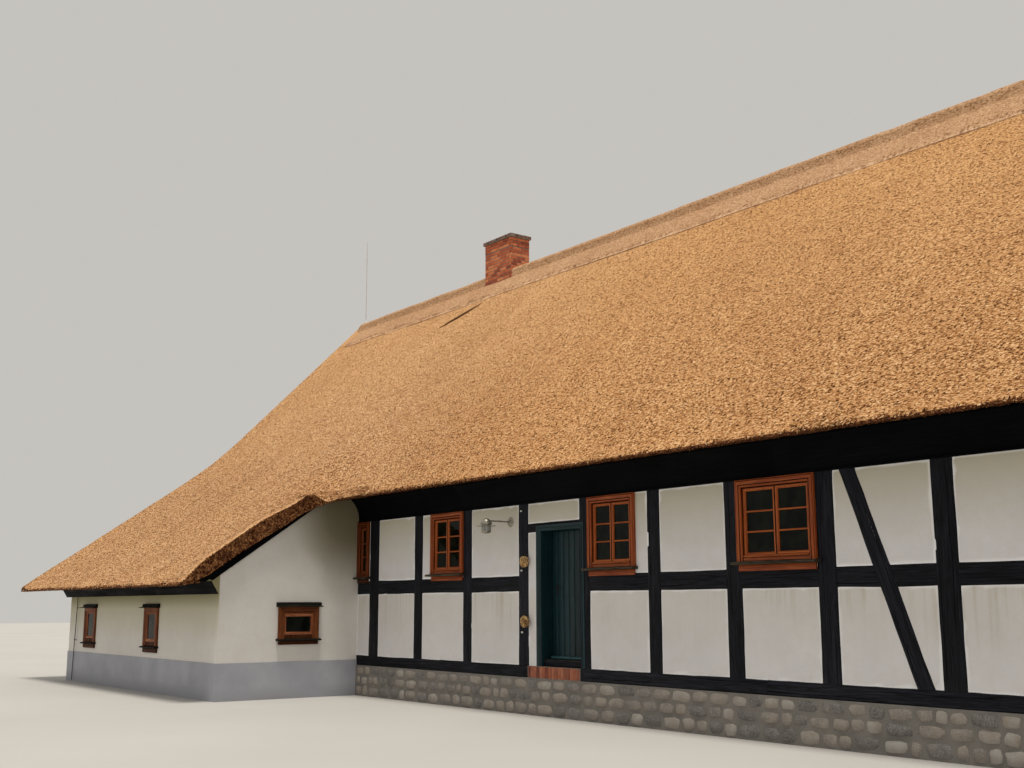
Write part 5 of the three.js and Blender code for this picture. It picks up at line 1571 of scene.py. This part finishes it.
MAIN_ROWS = [RIDGE["y"], 3.6, 1.8, 0.6, 0.1, MAIN_CUT_END, -0.24, -0.33, -0.42, -0.50, -0.54, TIP + 0.004]
WING_ROWS = [RIDGE["y"], 3.8, 2.4, 1.206, 0.5, -0.142, -0.45, -0.59, -0.80, -0.966, -1.222, -1.7, -2.2, -2.7,
             CATSLIDE_CUT_END, -3.18, -3.28, -3.38, -3.48, -3.57, -3.635, -3.653]
FRONT_STEP, BACK_STEP = (0.075, 0.062), (0.12, 0.10)
CAP_STEP, HOLE_MARGIN = 0.07, -0.06
BACK_SLOPE = mirrored(HOUSE_DEPTH)


def right_slope():
    """The main front slope, open where the swept corner closes it."""
    slope = add_slope(HOME, 0.0, VERGE["right"], TIP, corner_top, plain_under, (front_thatch, cut_thatch),
                      FRONT_STEP, FRONT_SEED, MAIN_ROWS,
                      lambda x, y: (x > 0.12) & (x < CORNER_END) & (y < -0.5), (0, ROUNDED["right"]))
    ys = np.arange(TIP + 0.01, RIDGE["y"], CAP_STEP)
    add_cap(slope, HOME, VERGE["right"], 1, ys, plain_top, plain_under, 61, ROUNDED["right"])
    add_corner(slope)
    return slope


def left_slope():
    """The left part, which runs on over the wing and has the chimney's hole."""
    slope = add_slope(HOME, VERGE["left"], VERGE["wing"], CATSLIDE["y"], roof_top, roof_under,
                      (catslide_thatch, cut_thatch), FRONT_STEP, FRONT_SEED, WING_ROWS,
                      lambda x, y: ((x > 0.001) & (y > CORNER_START)) | in_chimney(x, y, HOLE_MARGIN),
                      (ROUNDED["left"], ROUNDED["wing"]), extra=(0.0, VERGE_STEP))
    ys = np.concatenate([np.arange(CATSLIDE["y"] + 0.01, -1.30, 0.06), [-1.28]])
    add_cap(slope, HOME, VERGE["wing"], 1, ys, roof_top, roof_under, 63, ROUNDED["wing"])
    ys = np.arange(CATSLIDE["y"] + 0.01, RIDGE["y"], CAP_STEP)
    add_cap(slope, HOME, VERGE["left"], -1, ys, roof_top, roof_under, 65, ROUNDED["left"])
    return slope


def back_slope():
    """The back slope, drawn like the front one in a mirror."""
    slope = add_slope(BACK_SLOPE, VERGE["left"], VERGE["right"], TIP, back_top, plain_under,
                      (back_thatch, cut_thatch), BACK_STEP, BACK_SEED, MAIN_ROWS,
                      lambda x, y: in_chimney(x, HOUSE_DEPTH - y, HOLE_MARGIN),
                      (ROUNDED["left"], ROUNDED["right"]))
    ys = np.arange(TIP + 0.01, RIDGE["y"], CAP_STEP)
    for side, out in (("left", -1), ("right", 1)):
        add_cap(slope, BACK_SLOPE, VERGE[side], out, ys, back_top, plain_under, 67, ROUNDED[side])
    return slope


def add_thatch():
    """The three slopes with the reed ends at their edges, and then the loose tufts over them."""
    right, left, back = right_slope(), left_slope(), back_slope()
    add_eave_reeds(right, HOME, CORNER_END, VERGE["right"], TIP, eave_under, 2100)
    add_eave_reeds(left, HOME, VERGE["left"], VERGE["wing"], CATSLIDE["y"], catslide_under, 1100)
    add_eave_reeds(back, BACK_SLOPE, VERGE["left"], VERGE["right"], TIP, eave_under, 1500)
    add_verge_reeds(left, HOME, "wing", (CATSLIDE["y"], -1.3), roof_top, roof_under, 1300, (0.014, 0.03))
    add_verge_reeds(left, HOME, "left", (CATSLIDE["y"], RIDGE["y"] - 0.1), roof_top, roof_under, 1500)
    add_verge_reeds(right, HOME, "right", (TIP, RIDGE["y"] - 0.1), plain_top, plain_under, 1200)
    add_verge_reeds(back, BACK_SLOPE, "left", (TIP, RIDGE["y"] - 0.1), back_top, plain_under, 900)
    add_verge_reeds(back, BACK_SLOPE, "right", (TIP, RIDGE["y"] - 0.1), plain_top, plain_under, 900)
    add_slit(left)
    right.make("thatch_right", slot="thatch", replaces=("thatch_front",), outward=False, sharp=60)
    left.make("thatch_left", slot="thatch", replaces=("thatch_catslide",), outward=False, sharp=60)
    back.make("thatch_rear", slot="thatch", replaces=("thatch_back",), outward=False, sharp=60)
    add_right_tufts()
    add_left_tufts()
    add_back_tufts()


SLIT_LIP = [(0.16, 0.0, -0.01), (0.10, 0.25, 0.0), (0.03, 0.6, 0.0), (0.0, 0.7, 0.0), (-0.008, 0.5, 0.0),
            (0.015, 0.2, 0.0), (0.03, 0.0, -0.02)]
SLIT_GAP = [(0.03, 0.004), (0.0, 0.012), (-0.080, 0.010), (-0.088, -0.01), (0.03, -0.01)]


def add_slit(piece):
    """A short seam in the thatch below the chimney, whose upper edge stands off as a lip."""
    start, end = np.array(SLIT["start"]), np.array(SLIT["end"])
    t = np.linspace(0, 1, 21)
    x, middle = (start + (end - start) * t[:, None]).T
    rise = SLIT["rise"] * np.sin(math.pi * np.clip(t, 0.03, 0.97)) ** 0.5
    rings = []
    for back, share, sink in SLIT_LIP:
        y = middle + back + 0.004 * ripple(t, 0.08)
        rings.append(xyz(x, y, main_top(y) + rise * share + sink + thatch_relief(x, y, FRONT_SEED)))
    piece.add(HOME, np.stack(rings, 1), tube_faces(len(t), len(rings)), 0, shade=0.2)
    # A dark strip of cut reed ends below the lip, which paints in the shade of the seam's gap.
    rings = []
    for back, lift in SLIT_GAP:
        y = middle + back * rise / SLIT["rise"]
        rings.append(xyz(x, y, main_top(y) + lift + thatch_relief(x, middle + back, FRONT_SEED)))
    piece.add(HOME, np.stack(rings, 1), tube_faces(len(t), len(rings)), 1, shade=0.15)


def add_eave_reeds(piece, home, x0, x1, tip, under, count):
    """Reed ends along an eave: a row at its tip and more over the cut behind it."""
    x = rng.uniform(x0, x1, count)
    y = tip + 0.008 + 0.02 * rng.random(count)
    z = under(y) + rng.uniform(0.004, 0.045, count)
    base, golden = xyz(x, y, z), rng.random(count) < 0.35
    for which, material in ((golden, 0), (~golden, 1)):
        stubs(piece, home, base[which], (0, -0.72, -0.69), 0.22, (0.002, 0.022), (0.010, 0.022), material)
    x = rng.uniform(x0, x1, count)
    y = tip + 0.02 + 0.42 * rng.random(count) ** 1.3
    stubs(piece, home, xyz(x, y, under(y)), (0, -0.35, -0.93), 0.25, (0.002, 0.014), (0.012, 0.024))


def add_verge_reeds(piece, home, verge, ends, top, under, count, width=(0.010, 0.022)):
    """Reed ends over a slope's cut end, between two ends along Y."""
    y = rng.uniform(ends[0] + 0.02, ends[1], count)
    share = rng.random(count)
    edge = np.full(count, VERGE[verge])
    z = top(edge, y) * (1 - share) + under(edge, y) * share - 0.02 * (1 - share)
    out = -1 if verge == "left" else 1
    stubs(piece, home, xyz(edge, y, z), (out, -0.35, -0.3), 0.3, (0.002, 0.020), width)


SHORT_TUFTS = {"length": (0.035, 0.075), "width": (0.016, 0.036), "lift": (0.003, 0.010)}
FLAT_TUFTS = {"length": (0.030, 0.065), "width": (0.014, 0.030), "lift": (0.002, 0.007)}
LONG_TUFTS = {"length": (0.05, 0.11), "width": (0.018, 0.036), "lift": (0.004, 0.014)}
COARSE_TUFTS = {"length": (0.05, 0.09), "width": (0.02, 0.04), "lift": (0.003, 0.009)}
RIDGE_TUFTS = {"length": (0.05, 0.10), "width": (0.014, 0.028), "lift": (0.001, 0.006)}


def near_corner(x, y):
    """Whether a place on the roof is on the swept corner, which has tufts of its own."""
    t = np.linspace(0, 1, 41)
    line = curve(CORNER["inner"], t)
    border = np.interp(x, line[10:, 0], line[10:, 1])
    return np.where(x < 0.01, (y > CORNER_START) & (y < -0.6) & (x > -0.05), (x < CORNER_END) & (y < border))


def add_right_tufts():
    """Loose reed bundles over the main front slope, more of them low and at its left, and on the corner."""
    right = Piece(front_thatch)
    count = 44000
    x = VERGE["right"] * rng.random(count) ** 0.75 - 0.03
    y = TIP + 0.01 + (RIDGE["y"] - 0.6 - TIP) * rng.random(count) ** 1.25
    keep = (x > 0) & ~near_corner(x, y)
    x, y = x[keep], y[keep]
    z = corner_top(x, y) + thatch_relief(x, y, FRONT_SEED) - eave_drop(y - TIP)
    z -= rounded_drop(VERGE["right"] - x, ROUNDED["right"])
    tufts(right, HOME, x, y, z, MAIN_SLOPE, **SHORT_TUFTS)
    count = 900
    x, y, z, _ = corner_patch(rng.random(count), rng.random(count) * 0.96)
    tufts(right, HOME, x, y, z, 0.6, **SHORT_TUFTS)
    right.make("thatch_tufts_right", slot="thatch", outward=False, sharp=20)


def add_left_tufts():
    """Loose reed bundles over the part that runs on over the wing."""
    left = Piece(catslide_thatch)
    count = 40000
    x = rng.uniform(VERGE["left"] + 0.03, VERGE["wing"] - 0.02, count)
    y = rng.uniform(CATSLIDE["y"] + 0.01, RIDGE["y"] - 0.6, count)
    keep = ~((x > 0) & (y > CORNER_START)) & ~near_corner(x, y) & ~in_chimney(x, y, 0.05)
    x, y = x[keep], y[keep]
    z = roof_top(x, y) + thatch_relief(x, y, FRONT_SEED) - eave_drop(y - CATSLIDE["y"])
    z -= rounded_drop(x - VERGE["left"], ROUNDED["left"]) + rounded_drop(VERGE["wing"] - x, ROUNDED["wing"])
    slope = (roof_top(x, y + 0.05) - roof_top(x, y - 0.05)) / 0.1
    tufts(left, HOME, x, y, z, slope, **FLAT_TUFTS)
    add_crease(left)
    left.make("thatch_tufts_left", slot="thatch", outward=False, sharp=20)


def add_back_tufts():
    """Loose reed bundles over the back slope, fewer and larger."""
    back = Piece(back_thatch)
    count = 18000
    x = rng.uniform(VERGE["left"] + 0.03, VERGE["right"] - 0.03, count)
    y = rng.uniform(TIP + 0.01, RIDGE["y"] - 0.5, count)
    keep = ~in_chimney(x, HOUSE_DEPTH - y, 0.05)
    x, y = x[keep], y[keep]
    z = back_top(x, y) + thatch_relief(x, y, BACK_SEED) - eave_drop(y - TIP)
    tufts(back, BACK_SLOPE, x, y, z, MAIN_SLOPE, **LONG_TUFTS)
    back.make("thatch_tufts_rear", slot="thatch", outward=False, sharp=20)


def add_crease(piece):
    """Coarser bundles along the line in which the wing's slope meets the main one."""
    count = 170
    t = rng.random(count) ** 1.2
    x = -0.20 - 0.75 * t + rng.normal(0, 0.15, count)
    y = -0.85 + 1.25 * t + rng.normal(0, 0.12, count)
    keep = (x < -0.06) | (y > -0.3)
    x, y = x[keep], y[keep]
    z = roof_top(x, y) + thatch_relief(x, y, FRONT_SEED)
    tufts(piece, HOME, x, y, z, 0.8, **COARSE_TUFTS)


def ridge_outline(height):
    """The capping's section as (y, z), from its front lip over the roll to the back one and under it."""
    crest, reach, roll = RIDGE["crest"], RIDGE["reach"], RIDGE["roll"]
    skirt = [(-s * reach, height - s * reach + 0.052 - 0.030 * s ** 6) for s in np.linspace(1, 0.2, 9)]
    lip = [(-reach + 0.006, height - reach + 0.003), (-reach - 0.004, height - reach + 0.005),
           (-reach - 0.006, height - reach + 0.013)]
    arc = [(-roll * math.cos(a), crest - roll + roll * math.sin(a))
           for a in np.linspace(0.15, math.pi - 0.15, 11)]
    half = lip + skirt
    return np.array(half + arc + [(-y, z) for y, z in reversed(half)] + [(0.0, height - 0.01)])


def add_ridge():
    """The capping: a smooth pale skirt on both slopes and a rounded roll along the crest."""
    piece = Piece(ridge_thatch)
    middle, reach = RIDGE["y"], RIDGE["reach"]
    height = float(main_top(middle))
    outline = ridge_outline(height)
    start, end, near = RIDGE["left"], VERGE["right"], np.array([0.015, 0.04, 0.08])
    xs = np.linspace(start, end, int((end - start) / 0.13))
    xs = np.unique(np.concatenate([xs, start + near, end - near]))
    droop = rounded_drop(np.minimum(xs - start, end - xs), 0.15)
    wavy = np.stack([ripple(xs, 0.9), ripple(xs, 0.9)])
    rings = []
    for index, x in enumerate(xs):
        y, z = outline[:, 0].copy(), outline[:, 1].copy()
        away = np.sign(y) * np.clip(np.abs(y) / reach, 0, 1)
        side = np.where(y < 0, wavy[0, index], wavy[1, index]) * (np.abs(y) > 0.4)
        y = y + away * 0.018 * side
        z = z - np.abs(away) * 0.018 * side
        here = np.full(len(y), x)
        lift = 0.008 * rumple(here, y, 0.5, 71) + 0.003 * rumple(here, y, 0.12, 72)
        z[1:-2] += lift[1:-2]
        z[:-1] -= droop[index]
        rings.append(xyz(x, middle + y, z))
    points = np.stack(rings)
    # The skirt's lower edge gets the lightest tone: a painted highlight where it catches the light.
    shade = np.where(np.abs(outline[:, 0]) > 0.6, 1.0, 0.45)
    piece.add(HOME, points, tube_faces(len(xs), len(outline)), 0,
              shade=np.broadcast_to(shade, points.shape[:2]))
    count = 1800
    x = rng.uniform(start + 0.05, end - 0.05, count)
    front = rng.choice([-1.0, 1.0], count) < 0
    y = reach - rng.random(count) ** 2 * 0.10
    z = height - y + 0.05
    for home, side in ((HOME, front), (mirrored(2 * middle), ~front)):
        tufts(piece, home, x[side], middle - y[side], z[side], MAIN_SLOPE, **RIDGE_TUFTS)
    piece.make("ridge_thatching", slot="ridge_thatch", replaces=("ridge_cap",), sharp=60)


# Masonry

def unit_ball():
    """A coarse round mesh, to be bent into stones."""
    ball = bmesh.new()
    bmesh.ops.create_icosphere(ball, subdivisions=2, radius=1)
    points = np.array([vertex.co for vertex in ball.verts])
    faces = np.array([[vertex.index for vertex in face.verts] for face in ball.faces])
    ball.free()
    return points, faces


BALL_POINTS, BALL_FACES = unit_ball()


def stone(piece, home, centre, size):
    """A fieldstone: a rounded block with a random lumpy surface."""
    points = np.sign(BALL_POINTS) * np.abs(BALL_POINTS) ** 0.62
    points = points * (1 + rng.uniform(-0.09, 0.09, (len(points), 1)))
    points = points @ np.array(Matrix.Rotation(rng.uniform(-0.16, 0.16), 3, "Y")).T
    points = points * np.array(size) / 2 * rng.uniform(0.94, 1.04, 3) + np.array(centre)
    points[:, 2] = np.maximum(points[:, 2], 0.001)
    piece.add(home, points, BALL_FACES)


def stone_wall(piece, home, left, right, low, high, face):
    """Rough courses of fieldstones in a wall's face, which is at this depth."""
    z = low
    while z < high - 0.05:
        course = min(rng.uniform(0.15, 0.22), high - z)
        if high - z - course < 0.08:
            course = high - z
        x = left
        while x < right - 0.02:
            width = min(rng.uniform(0.17, 0.42), right - x)
            if right - x - width < 0.1:
                width = right - x
            tall = course * rng.uniform(0.86, 1.0)
            centre = (x + width / 2, face + 0.035, z + course / 2 + rng.uniform(-0.008, 0.008))
            stone(piece, home, centre, (width - 0.016, rng.uniform(0.10, 0.125), tall - 0.014))
            x += width
        z += course


def add_plinth_stones():
    """Fieldstones along the main house's front, right end and back."""
    piece = Piece(fieldstone)
    top, face, corner = LEVEL["plinth"] - 0.007, -0.02, 0.015
    stone_wall(piece, FRONT, 0.02, HOUSE_RIGHT + corner, 0.0, top, face)
    stone_wall(piece, RIGHT, -corner, HOUSE_DEPTH + corner, 0.0, top, face)
    stone_wall(piece, BACK, -corner, BACK_LENGTH - 0.02, 0.0, top, face)
    piece.make("plinth_stones", slot="fieldstone", sharp=80)


def brick_courses(piece, home, width, low, high, brick=(0.24, 0.065), joint=0.011, face=0.0, shift=0.0,
                  material=0):
    """A brick face in running bond, along X from 0 to a width."""
    long, tall = brick
    count = int(round((high - low) / (tall + joint)))
    pitch_z = (high - low) / count
    for row in range(count):
        z = low + row * pitch_z
        x = -(row % 2 * 0.5 + shift) * (long + joint)
        while x < width - 0.01:
            start, end = max(x, 0.0), min(x + long, width)
            if end - start > 0.03:
                out = face - rng.uniform(0.003, 0.006)
                block(piece, home, (start, out, z + joint / 2),
                      (end, face + 0.02, z + pitch_z - joint / 2), 0.004, jitter=0.0015, along=0,
                      material=material)
            x += long + joint


def add_chimney_bricks():
    """The shaft, its collar and the short bricks of its cap, on the four sides."""
    piece = Piece(red_brick, sooty_brick)
    (x0, x1), (y0, y1) = CHIMNEY["x"], CHIMNEY["y"]
    top, cap = CHIMNEY["top"], CHIMNEY["top"] - CHIMNEY["cap"]
    collar = cap - CHIMNEY["collar"]
    sides = [(place(x0, y0, 0), x1 - x0), (place(x1, y0, 90), y1 - y0), (place(x1, y1, 180), x1 - x0),
             (place(x0, y1, -90), y1 - y0)]
    for index, (home, width) in enumerate(sides):
        shift = 0.25 * (index % 2)
        brick_courses(piece, home, width, CHIMNEY["foot"], collar, shift=shift)
        brick_courses(piece, home, width, collar + 0.015, cap - 0.005, face=-0.006, shift=shift)
        brick_courses(piece, at(home, -0.03, -0.036, 0), width + 0.06, cap + 0.004, top - 0.004,
                      (0.115, 0.06), 0.012, material=1)
    piece.make("chimney_bricks", slot="brick")


def add_door_bricks():
    """A row of bricks on end under the door."""
    piece = Piece(base_brick)
    left, right = DOORWAY[0] + 0.004, DOORWAY[1] - 0.005
    low, high = LEVEL["plinth"] + 0.006, LEVEL["sill"] - 0.005
    count, joint = 17, 0.005
    pitch = (right - left) / count
    for index in range(count):
        x = left + index * pitch
        out = -0.024 - rng.uniform(0, 0.005)
        block(piece, FRONT, (x + joint, out, low), (x + pitch - joint, 0.02, high), jitter=0.002)
    piece.make("door_base_bricks", slot="brick")


# Boards under the eaves, on the wing and on the floor

def cove_profile():
    """The plate's coved face under the eave, as (height above the plate's foot, depth) round its outline."""
    foot, top, out, lip, back, gap = 3.296, 3.76, 0.179, 0.025, 0.06, 0.004
    start = (-out, float(main_under(-out)) - lip)
    points = curve((start, (0.0, (foot + top) / 2), (0.0, foot)), np.linspace(0, 1, 15))
    cove = [(z - LEVEL["plate"], y - gap) for y, z in points]
    low = [(0.026, -0.010), (0.020, -0.022), (0.008, -0.022), (0.002, -0.014), (0.002, back)]
    head = [(float(main_under(y)) - LEVEL["plate"] - gap, depth)
            for y, depth in ((back, back), (-out, -out - gap))]
    return head + cove + low


def add_eave_boards():
    """Coved boards under the front and back eaves, each up to 3.6 m long."""
    piece = Piece(black_board)
    profile = cove_profile()
    for home, start, end in ((FRONT, 0.002, HOUSE_RIGHT), (BACK, 0.0, BACK_LENGTH - 0.002)):
        count = int((end - start) / 3.6) + 1
        pitch = (end - start) / count
        for index in range(count):
            x = start + index * pitch
            bar(piece, home, (x, LEVEL["plate"]), (x + pitch, LEVEL["plate"]), 1, profile, wave=0.002,
                shade=0.5)
    piece.make("eave_boards", slot="black_timber", sharp=30)


def add_fascia_boards():
    """Two rows of thin boards over the wing's slanting fascia."""
    piece = Piece(black_board)
    flare_y, flare_z, low_z = -2.983, 2.112, WING["fascia_low"]
    length = math.hypot(flare_y - WING["front"], flare_z - low_z)
    tilt = math.atan2(WING["front"] - flare_y, flare_z - low_z)
    home = at(HOME, 0, WING["front"], low_z, math.degrees(tilt))
    start, end, count = -8.78, 0.0, 3
    pitch = (end - start) / count
    for index in range(count):
        x = start + index * pitch
        for low, high in ((0.0, length / 2), (length / 2, length - 0.006)):
            profile = board_profile(high - low, -0.006, 0.004, 0.004)
            bar(piece, home, (x, low), (x + pitch, low), 1, profile, shade=0.5)
    piece.make("fascia_boards", slot="black_timber")


def add_verge_board():
    """A thin board that follows the wing's swept verge and tapers off towards its end."""
    verge = Piece(black_board)
    foot, step, end = -3.02, 0.045, -0.98
    ys = np.concatenate([np.linspace(-3.40, foot, 6), np.linspace(foot + step, end, 26)])
    low = swept_under(ys) - 0.060 * np.clip((ys - foot) / step, 0, 1)
    high = swept_under(ys) + verge_undercut(ys) + 0.012
    high = low + (high - low) * (0.06 + 0.94 * ease((end - ys) / 0.35))
    outline = [(0.0004, 0.0), (0.036, 0.0), (0.041, 0.06), (0.041, 0.94), (0.036, 1.0), (0.0004, 1.0)]
    points = np.stack([xyz(x, ys, low + (high - low) * share) for x, share in outline], 1)
    verge.add(HOME, points, tube_faces(len(ys), len(outline)), 0, points[..., [0, 2, 1]])
    verge.make("verge_boarding", slot="black_timber", replaces=("wing_verge_board",))


def add_floor():
    """Floor boards, each row butted somewhere along its length."""
    piece = Piece(oak_boards)
    x, width, gap = HOUSE_LEFT + WING["wall"] + 0.01, 0.19, 0.0015
    y0, y1 = WALL + 0.01, HOUSE_DEPTH - WALL - 0.01
    foot, top = LEVEL["floor"] - 0.004, LEVEL["floor"] + 0.003
    while x < HOUSE_RIGHT - WALL - width:
        middle = rng.uniform(y0 + 2, y1 - 2)
        for low, high in ((y0, middle - 0.001), (middle + 0.001, y1)):
            block(piece, HOME, (x + gap, low, foot), (x + width - gap, high, top), gap, along=1)
        x += width
    piece.make("floor_planks", slot="floor_boards")


# Fittings

LAMP_ROSE = [
    (0, 0), (0.084, 0), (0.084, 0.006), (0.078, 0.011), (0.058, 0.013), (0.054, 0.021), (0.036, 0.024),
    (0.028, 0.034), (0.015, 0.038), (0, 0.038),
]
LAMP_HEAD = [
    (0, 3.034), (0.012, 3.033), (0.018, 3.028), (0.034, 3.024), (0.056, 3.010), (0.072, 2.988),
    (0.078, 2.966), (0.092, 2.962), (0.092, 2.940), (0.086, 2.936), (0.070, 2.934), (0.068, 2.918),
    (0.152, 2.915), (0.157, 2.911), (0.152, 2.908), (0.064, 2.909), (0.060, 2.915), (0, 2.915),
]
LAMP_GLASS = [
    (0.060, 2.910), (0.067, 2.905), (0.070, 2.870), (0.067, 2.838), (0.058, 2.832), (0.054, 2.838),
    (0.056, 2.87), (0.054, 2.905),
]
LAMP_FOOT = [
    (0, 2.792), (0.03, 2.792), (0.058, 2.799), (0.074, 2.812), (0.078, 2.826), (0.078, 2.837), (0.070, 2.839),
    (0.06, 2.834), (0, 2.834),
]
LAMP_CAGE = {"heights": (2.828, 2.84, 2.87, 2.90, 2.912), "radius": 0.073, "rings": (2.855, 2.885),
             "ring": 0.074}


def add_lamp():
    """A lamp on a straight arm: its head and shade, the glass in a wire cage, and a foot."""
    piece = Piece(lamp_metal, lamp_glass)
    x, z, reach = LAMP["x"], LAMP["z"], LAMP["reach"]
    wall = at(FRONT, x, 0.006, z, OUT)
    lathe(piece, wall, LAMP_ROSE, 36)
    path = [(x, -0.03, z)]
    path += [(x, -t, z + 0.004 * math.sin(t / reach * math.pi)) for t in np.linspace(0.06, reach, 9)]
    wire(piece, FRONT, path, 0.012, 14)
    head = at(FRONT, x, -reach, 0)
    lathe(piece, head, LAMP_HEAD, 40)
    lathe(piece, head, LAMP_GLASS, 32, material=1)
    lathe(piece, head, LAMP_FOOT, 36)
    for angle in np.linspace(0, 2 * math.pi, 6, endpoint=False):
        across, along = LAMP_CAGE["radius"] * math.cos(angle), LAMP_CAGE["radius"] * math.sin(angle)
        upright = [(x + across, -reach + along, height) for height in LAMP_CAGE["heights"]]
        wire(piece, FRONT, upright, 0.0042, 6)
    turn = np.linspace(0, 2 * math.pi, 37)
    for height in LAMP_CAGE["rings"]:
        radius = LAMP_CAGE["ring"]
        ring = [(x + radius * math.cos(a), -reach + radius * math.sin(a), height) for a in turn]
        wire(piece, FRONT, ring, 0.0034, 6)
    for angle in (45, 135, 225, 315):
        a = math.radians(angle)
        lathe(piece, at(wall, 0.068 * math.cos(a), 0.068 * math.sin(a), 0.011), SCREW, 10)
    piece.make("lamp_fitting", slot="galvanised_metal", replaces=("wall_lamp",))


HOOK = [(0.0, 0.096), (-0.02, 0.100), (-0.045, 0.098), (-0.066, 0.085)]
KNOB = [(0, -0.004), (0.009, -0.004), (0.010, 0.005), (0.015, 0.008), (0.017, 0.014), (0.012, 0.019),
        (0.014, 0.025), (0.011, 0.031), (0, 0.033)]
STRANDS = 38


def add_ornament(name, x, z):
    """A bundle of straw folded round itself in loose strands, hung from a hook in the post by white knobs."""
    piece = Piece(straw, dark_metal, white_enamel)
    radii = np.array(ORNAMENT_RADII)
    centre = np.array([x, -radii[1], z])
    for index in range(STRANDS):
        tilt, lean, roll = rng.uniform(0, math.pi), rng.uniform(-0.5, 0.5), rng.uniform(0, 6)
        turn = Matrix.Rotation(tilt, 3, "Z") @ Matrix.Rotation(lean, 3, "X") @ Matrix.Rotation(roll, 3, "Y")
        angle = np.linspace(0, rng.uniform(3.6, 5.6), 18)
        radius = rng.uniform(0.70, 0.90) * (1 + 0.06 * np.sin(3 * angle + index))
        loop = xyz(radius * np.cos(angle), 0.12 * np.sin(2 * angle + index), radius * np.sin(angle))
        loop = loop @ np.array(turn).T * (radii - 0.012)
        wire(piece, FRONT, centre + loop, rng.uniform(0.008, 0.013), 6, taper=np.r_[0.3, np.ones(16), 0.3])
    # A dark straw core within the strands: painted shade in the gaps between them.
    piece.add(FRONT, BALL_POINTS * 0.74 * radii + centre, BALL_FACES, shade=0.0)
    wire(piece, FRONT, [(x, y, z + height) for y, height in HOOK], 0.004, 8, material=1)
    for knob_x, knob_z in KNOBS[name]:
        lathe(piece, at(FRONT, knob_x, -0.004, knob_z, OUT), KNOB, 16, material=2)
    piece.make(f"straw_{name}", slot="straw", replaces=(f"post_ornament_{name}",), sharp=50)


def add_rod():
    """The lightning rod: a small foot on the crest, and a tapered rod with a collar."""
    piece = Piece(galvanised)
    crest, collar, top = RIDGE["crest"], ROD["collar"], ROD["top"]
    foot = [(0, 0.0005), (0.04, 0.0005), (0.04, 0.01), (0.03, 0.02), (0.014, 0.04), (0.011, 0.06),
            (0.010, 0.4)]
    upper = [(0.0095, collar), (0.012, collar + 0.002), (0.012, collar + 0.03), (0.009, collar + 0.032),
             (0.008, top - 0.098), (0.001, top)]
    profile = [(radius, crest + height) for radius, height in foot] + upper
    lathe(piece, at(HOME, ROD["x"], RIDGE["y"], 0), profile, 12)
    piece.make("rod_on_ridge", slot="galvanised_metal", replaces=("lightning_rod",))


def add_conductor():
    """The conductor's leaning wire and the clips that hold it to the wing's front."""
    lead = Piece(lead_metal)
    x, y = CONDUCTOR["x"], CONDUCTOR["y"]
    heights = np.linspace(CONDUCTOR["foot"], CONDUCTOR["top"], 24)
    middle = (CONDUCTOR["foot"] + CONDUCTOR["top"]) / 2
    path = [(x + CONDUCTOR["lean"] * (height - middle), y, height) for height in heights]
    wire(lead, HOME, path, 0.009, 10)
    wall = WING["front"] - 0.0005
    for height in CONDUCTOR["clips"]:
        clip = x + CONDUCTOR["lean"] * (height - middle)
        block(lead, HOME, (clip - 0.011, y + 0.004, height + 0.004), (clip + 0.011, wall, height + 0.02),
              0.002)
        block(lead, HOME, (clip - 0.012, y - 0.011, height), (clip + 0.012, y + 0.008, height + 0.024))
    lead.make("conductor_lead", slot="galvanised_metal", replaces=("lightning_conductor",))


def dress_cad():
    """Materials for the model's own nodes that stay in view."""
    panels = ("front_infill_left", "front_infill_right", "infill_over_door", "back_infill",
              "right_gable_infill")
    looks = [
        (white_panel, panels), (wing_render, ("left_wall", "wing_front_wall", "wing_side_wall")),
        (plinth_paint, ("wing_plinth",)), (stone_mortar, ("main_plinth",)),
        (brick_mortar, ("chimney", "door_brick_base")), (oak_object, ("ground_floor",)),
        (black_object, ("front_wall_plate", "back_wall_plate", "wing_fascia")),
    ]
    for material, names in looks:
        for name in names:
            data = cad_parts[name].data
            data.materials.clear()
            data.materials.append(material)


add_front_frame()
add_back_frame()
add_gable_frame()
add_panels()
add_casements()
add_small_windows()
add_door_surround()
add_door_threshold()
add_lintel()
add_door_leaf()
add_door_handle()
add_thatch()
add_ridge()
add_plinth_stones()
add_chimney_bricks()
add_door_bricks()
add_eave_boards()
add_fascia_boards()
add_verge_board()
add_floor()
add_lamp()
for ornament, (ornament_x, ornament_z) in ORNAMENTS.items():
    add_ornament(ornament, ornament_x, ornament_z)
add_rod()
add_conductor()
dress_cad()


# Light and floor

def add_stage():
    """The ground, a low warm sun with soft shadows, and an even sky."""
    size = 120
    mesh = bpy.data.meshes.new("floor")
    mesh.from_pydata([(-size, -size, 0), (size, -size, 0), (size, size, 0), (-size, size, 0)], [],
                     [(0, 1, 2, 3)])
    mesh.materials.append(floor_material())
    floor = bpy.data.objects.new("floor", mesh)
    bpy.context.scene.collection.objects.link(floor)
    sun = bpy.data.lights.new("sun", "SUN")
    sun.energy = 2.35
    sun.angle = math.radians(14)
    sun.color = (1.0, 0.95, 0.86)
    lamp = bpy.data.objects.new("sun", sun)
    lamp.rotation_euler = Vector((0.16, -0.12, 0.95)).to_track_quat("Z", "Y").to_euler()
    bpy.context.scene.collection.objects.link(lamp)
    world = bpy.data.worlds.new("studio")
    world.use_nodes = True
    background = world.node_tree.nodes["Background"]
    background.inputs["Color"].default_value = (1.0, 0.97, 0.92, 1)
    background.inputs["Strength"].default_value = 0.56
    bpy.context.scene.world = world
    bpy.context.scene.view_settings.view_transform = "Standard"


add_stage()
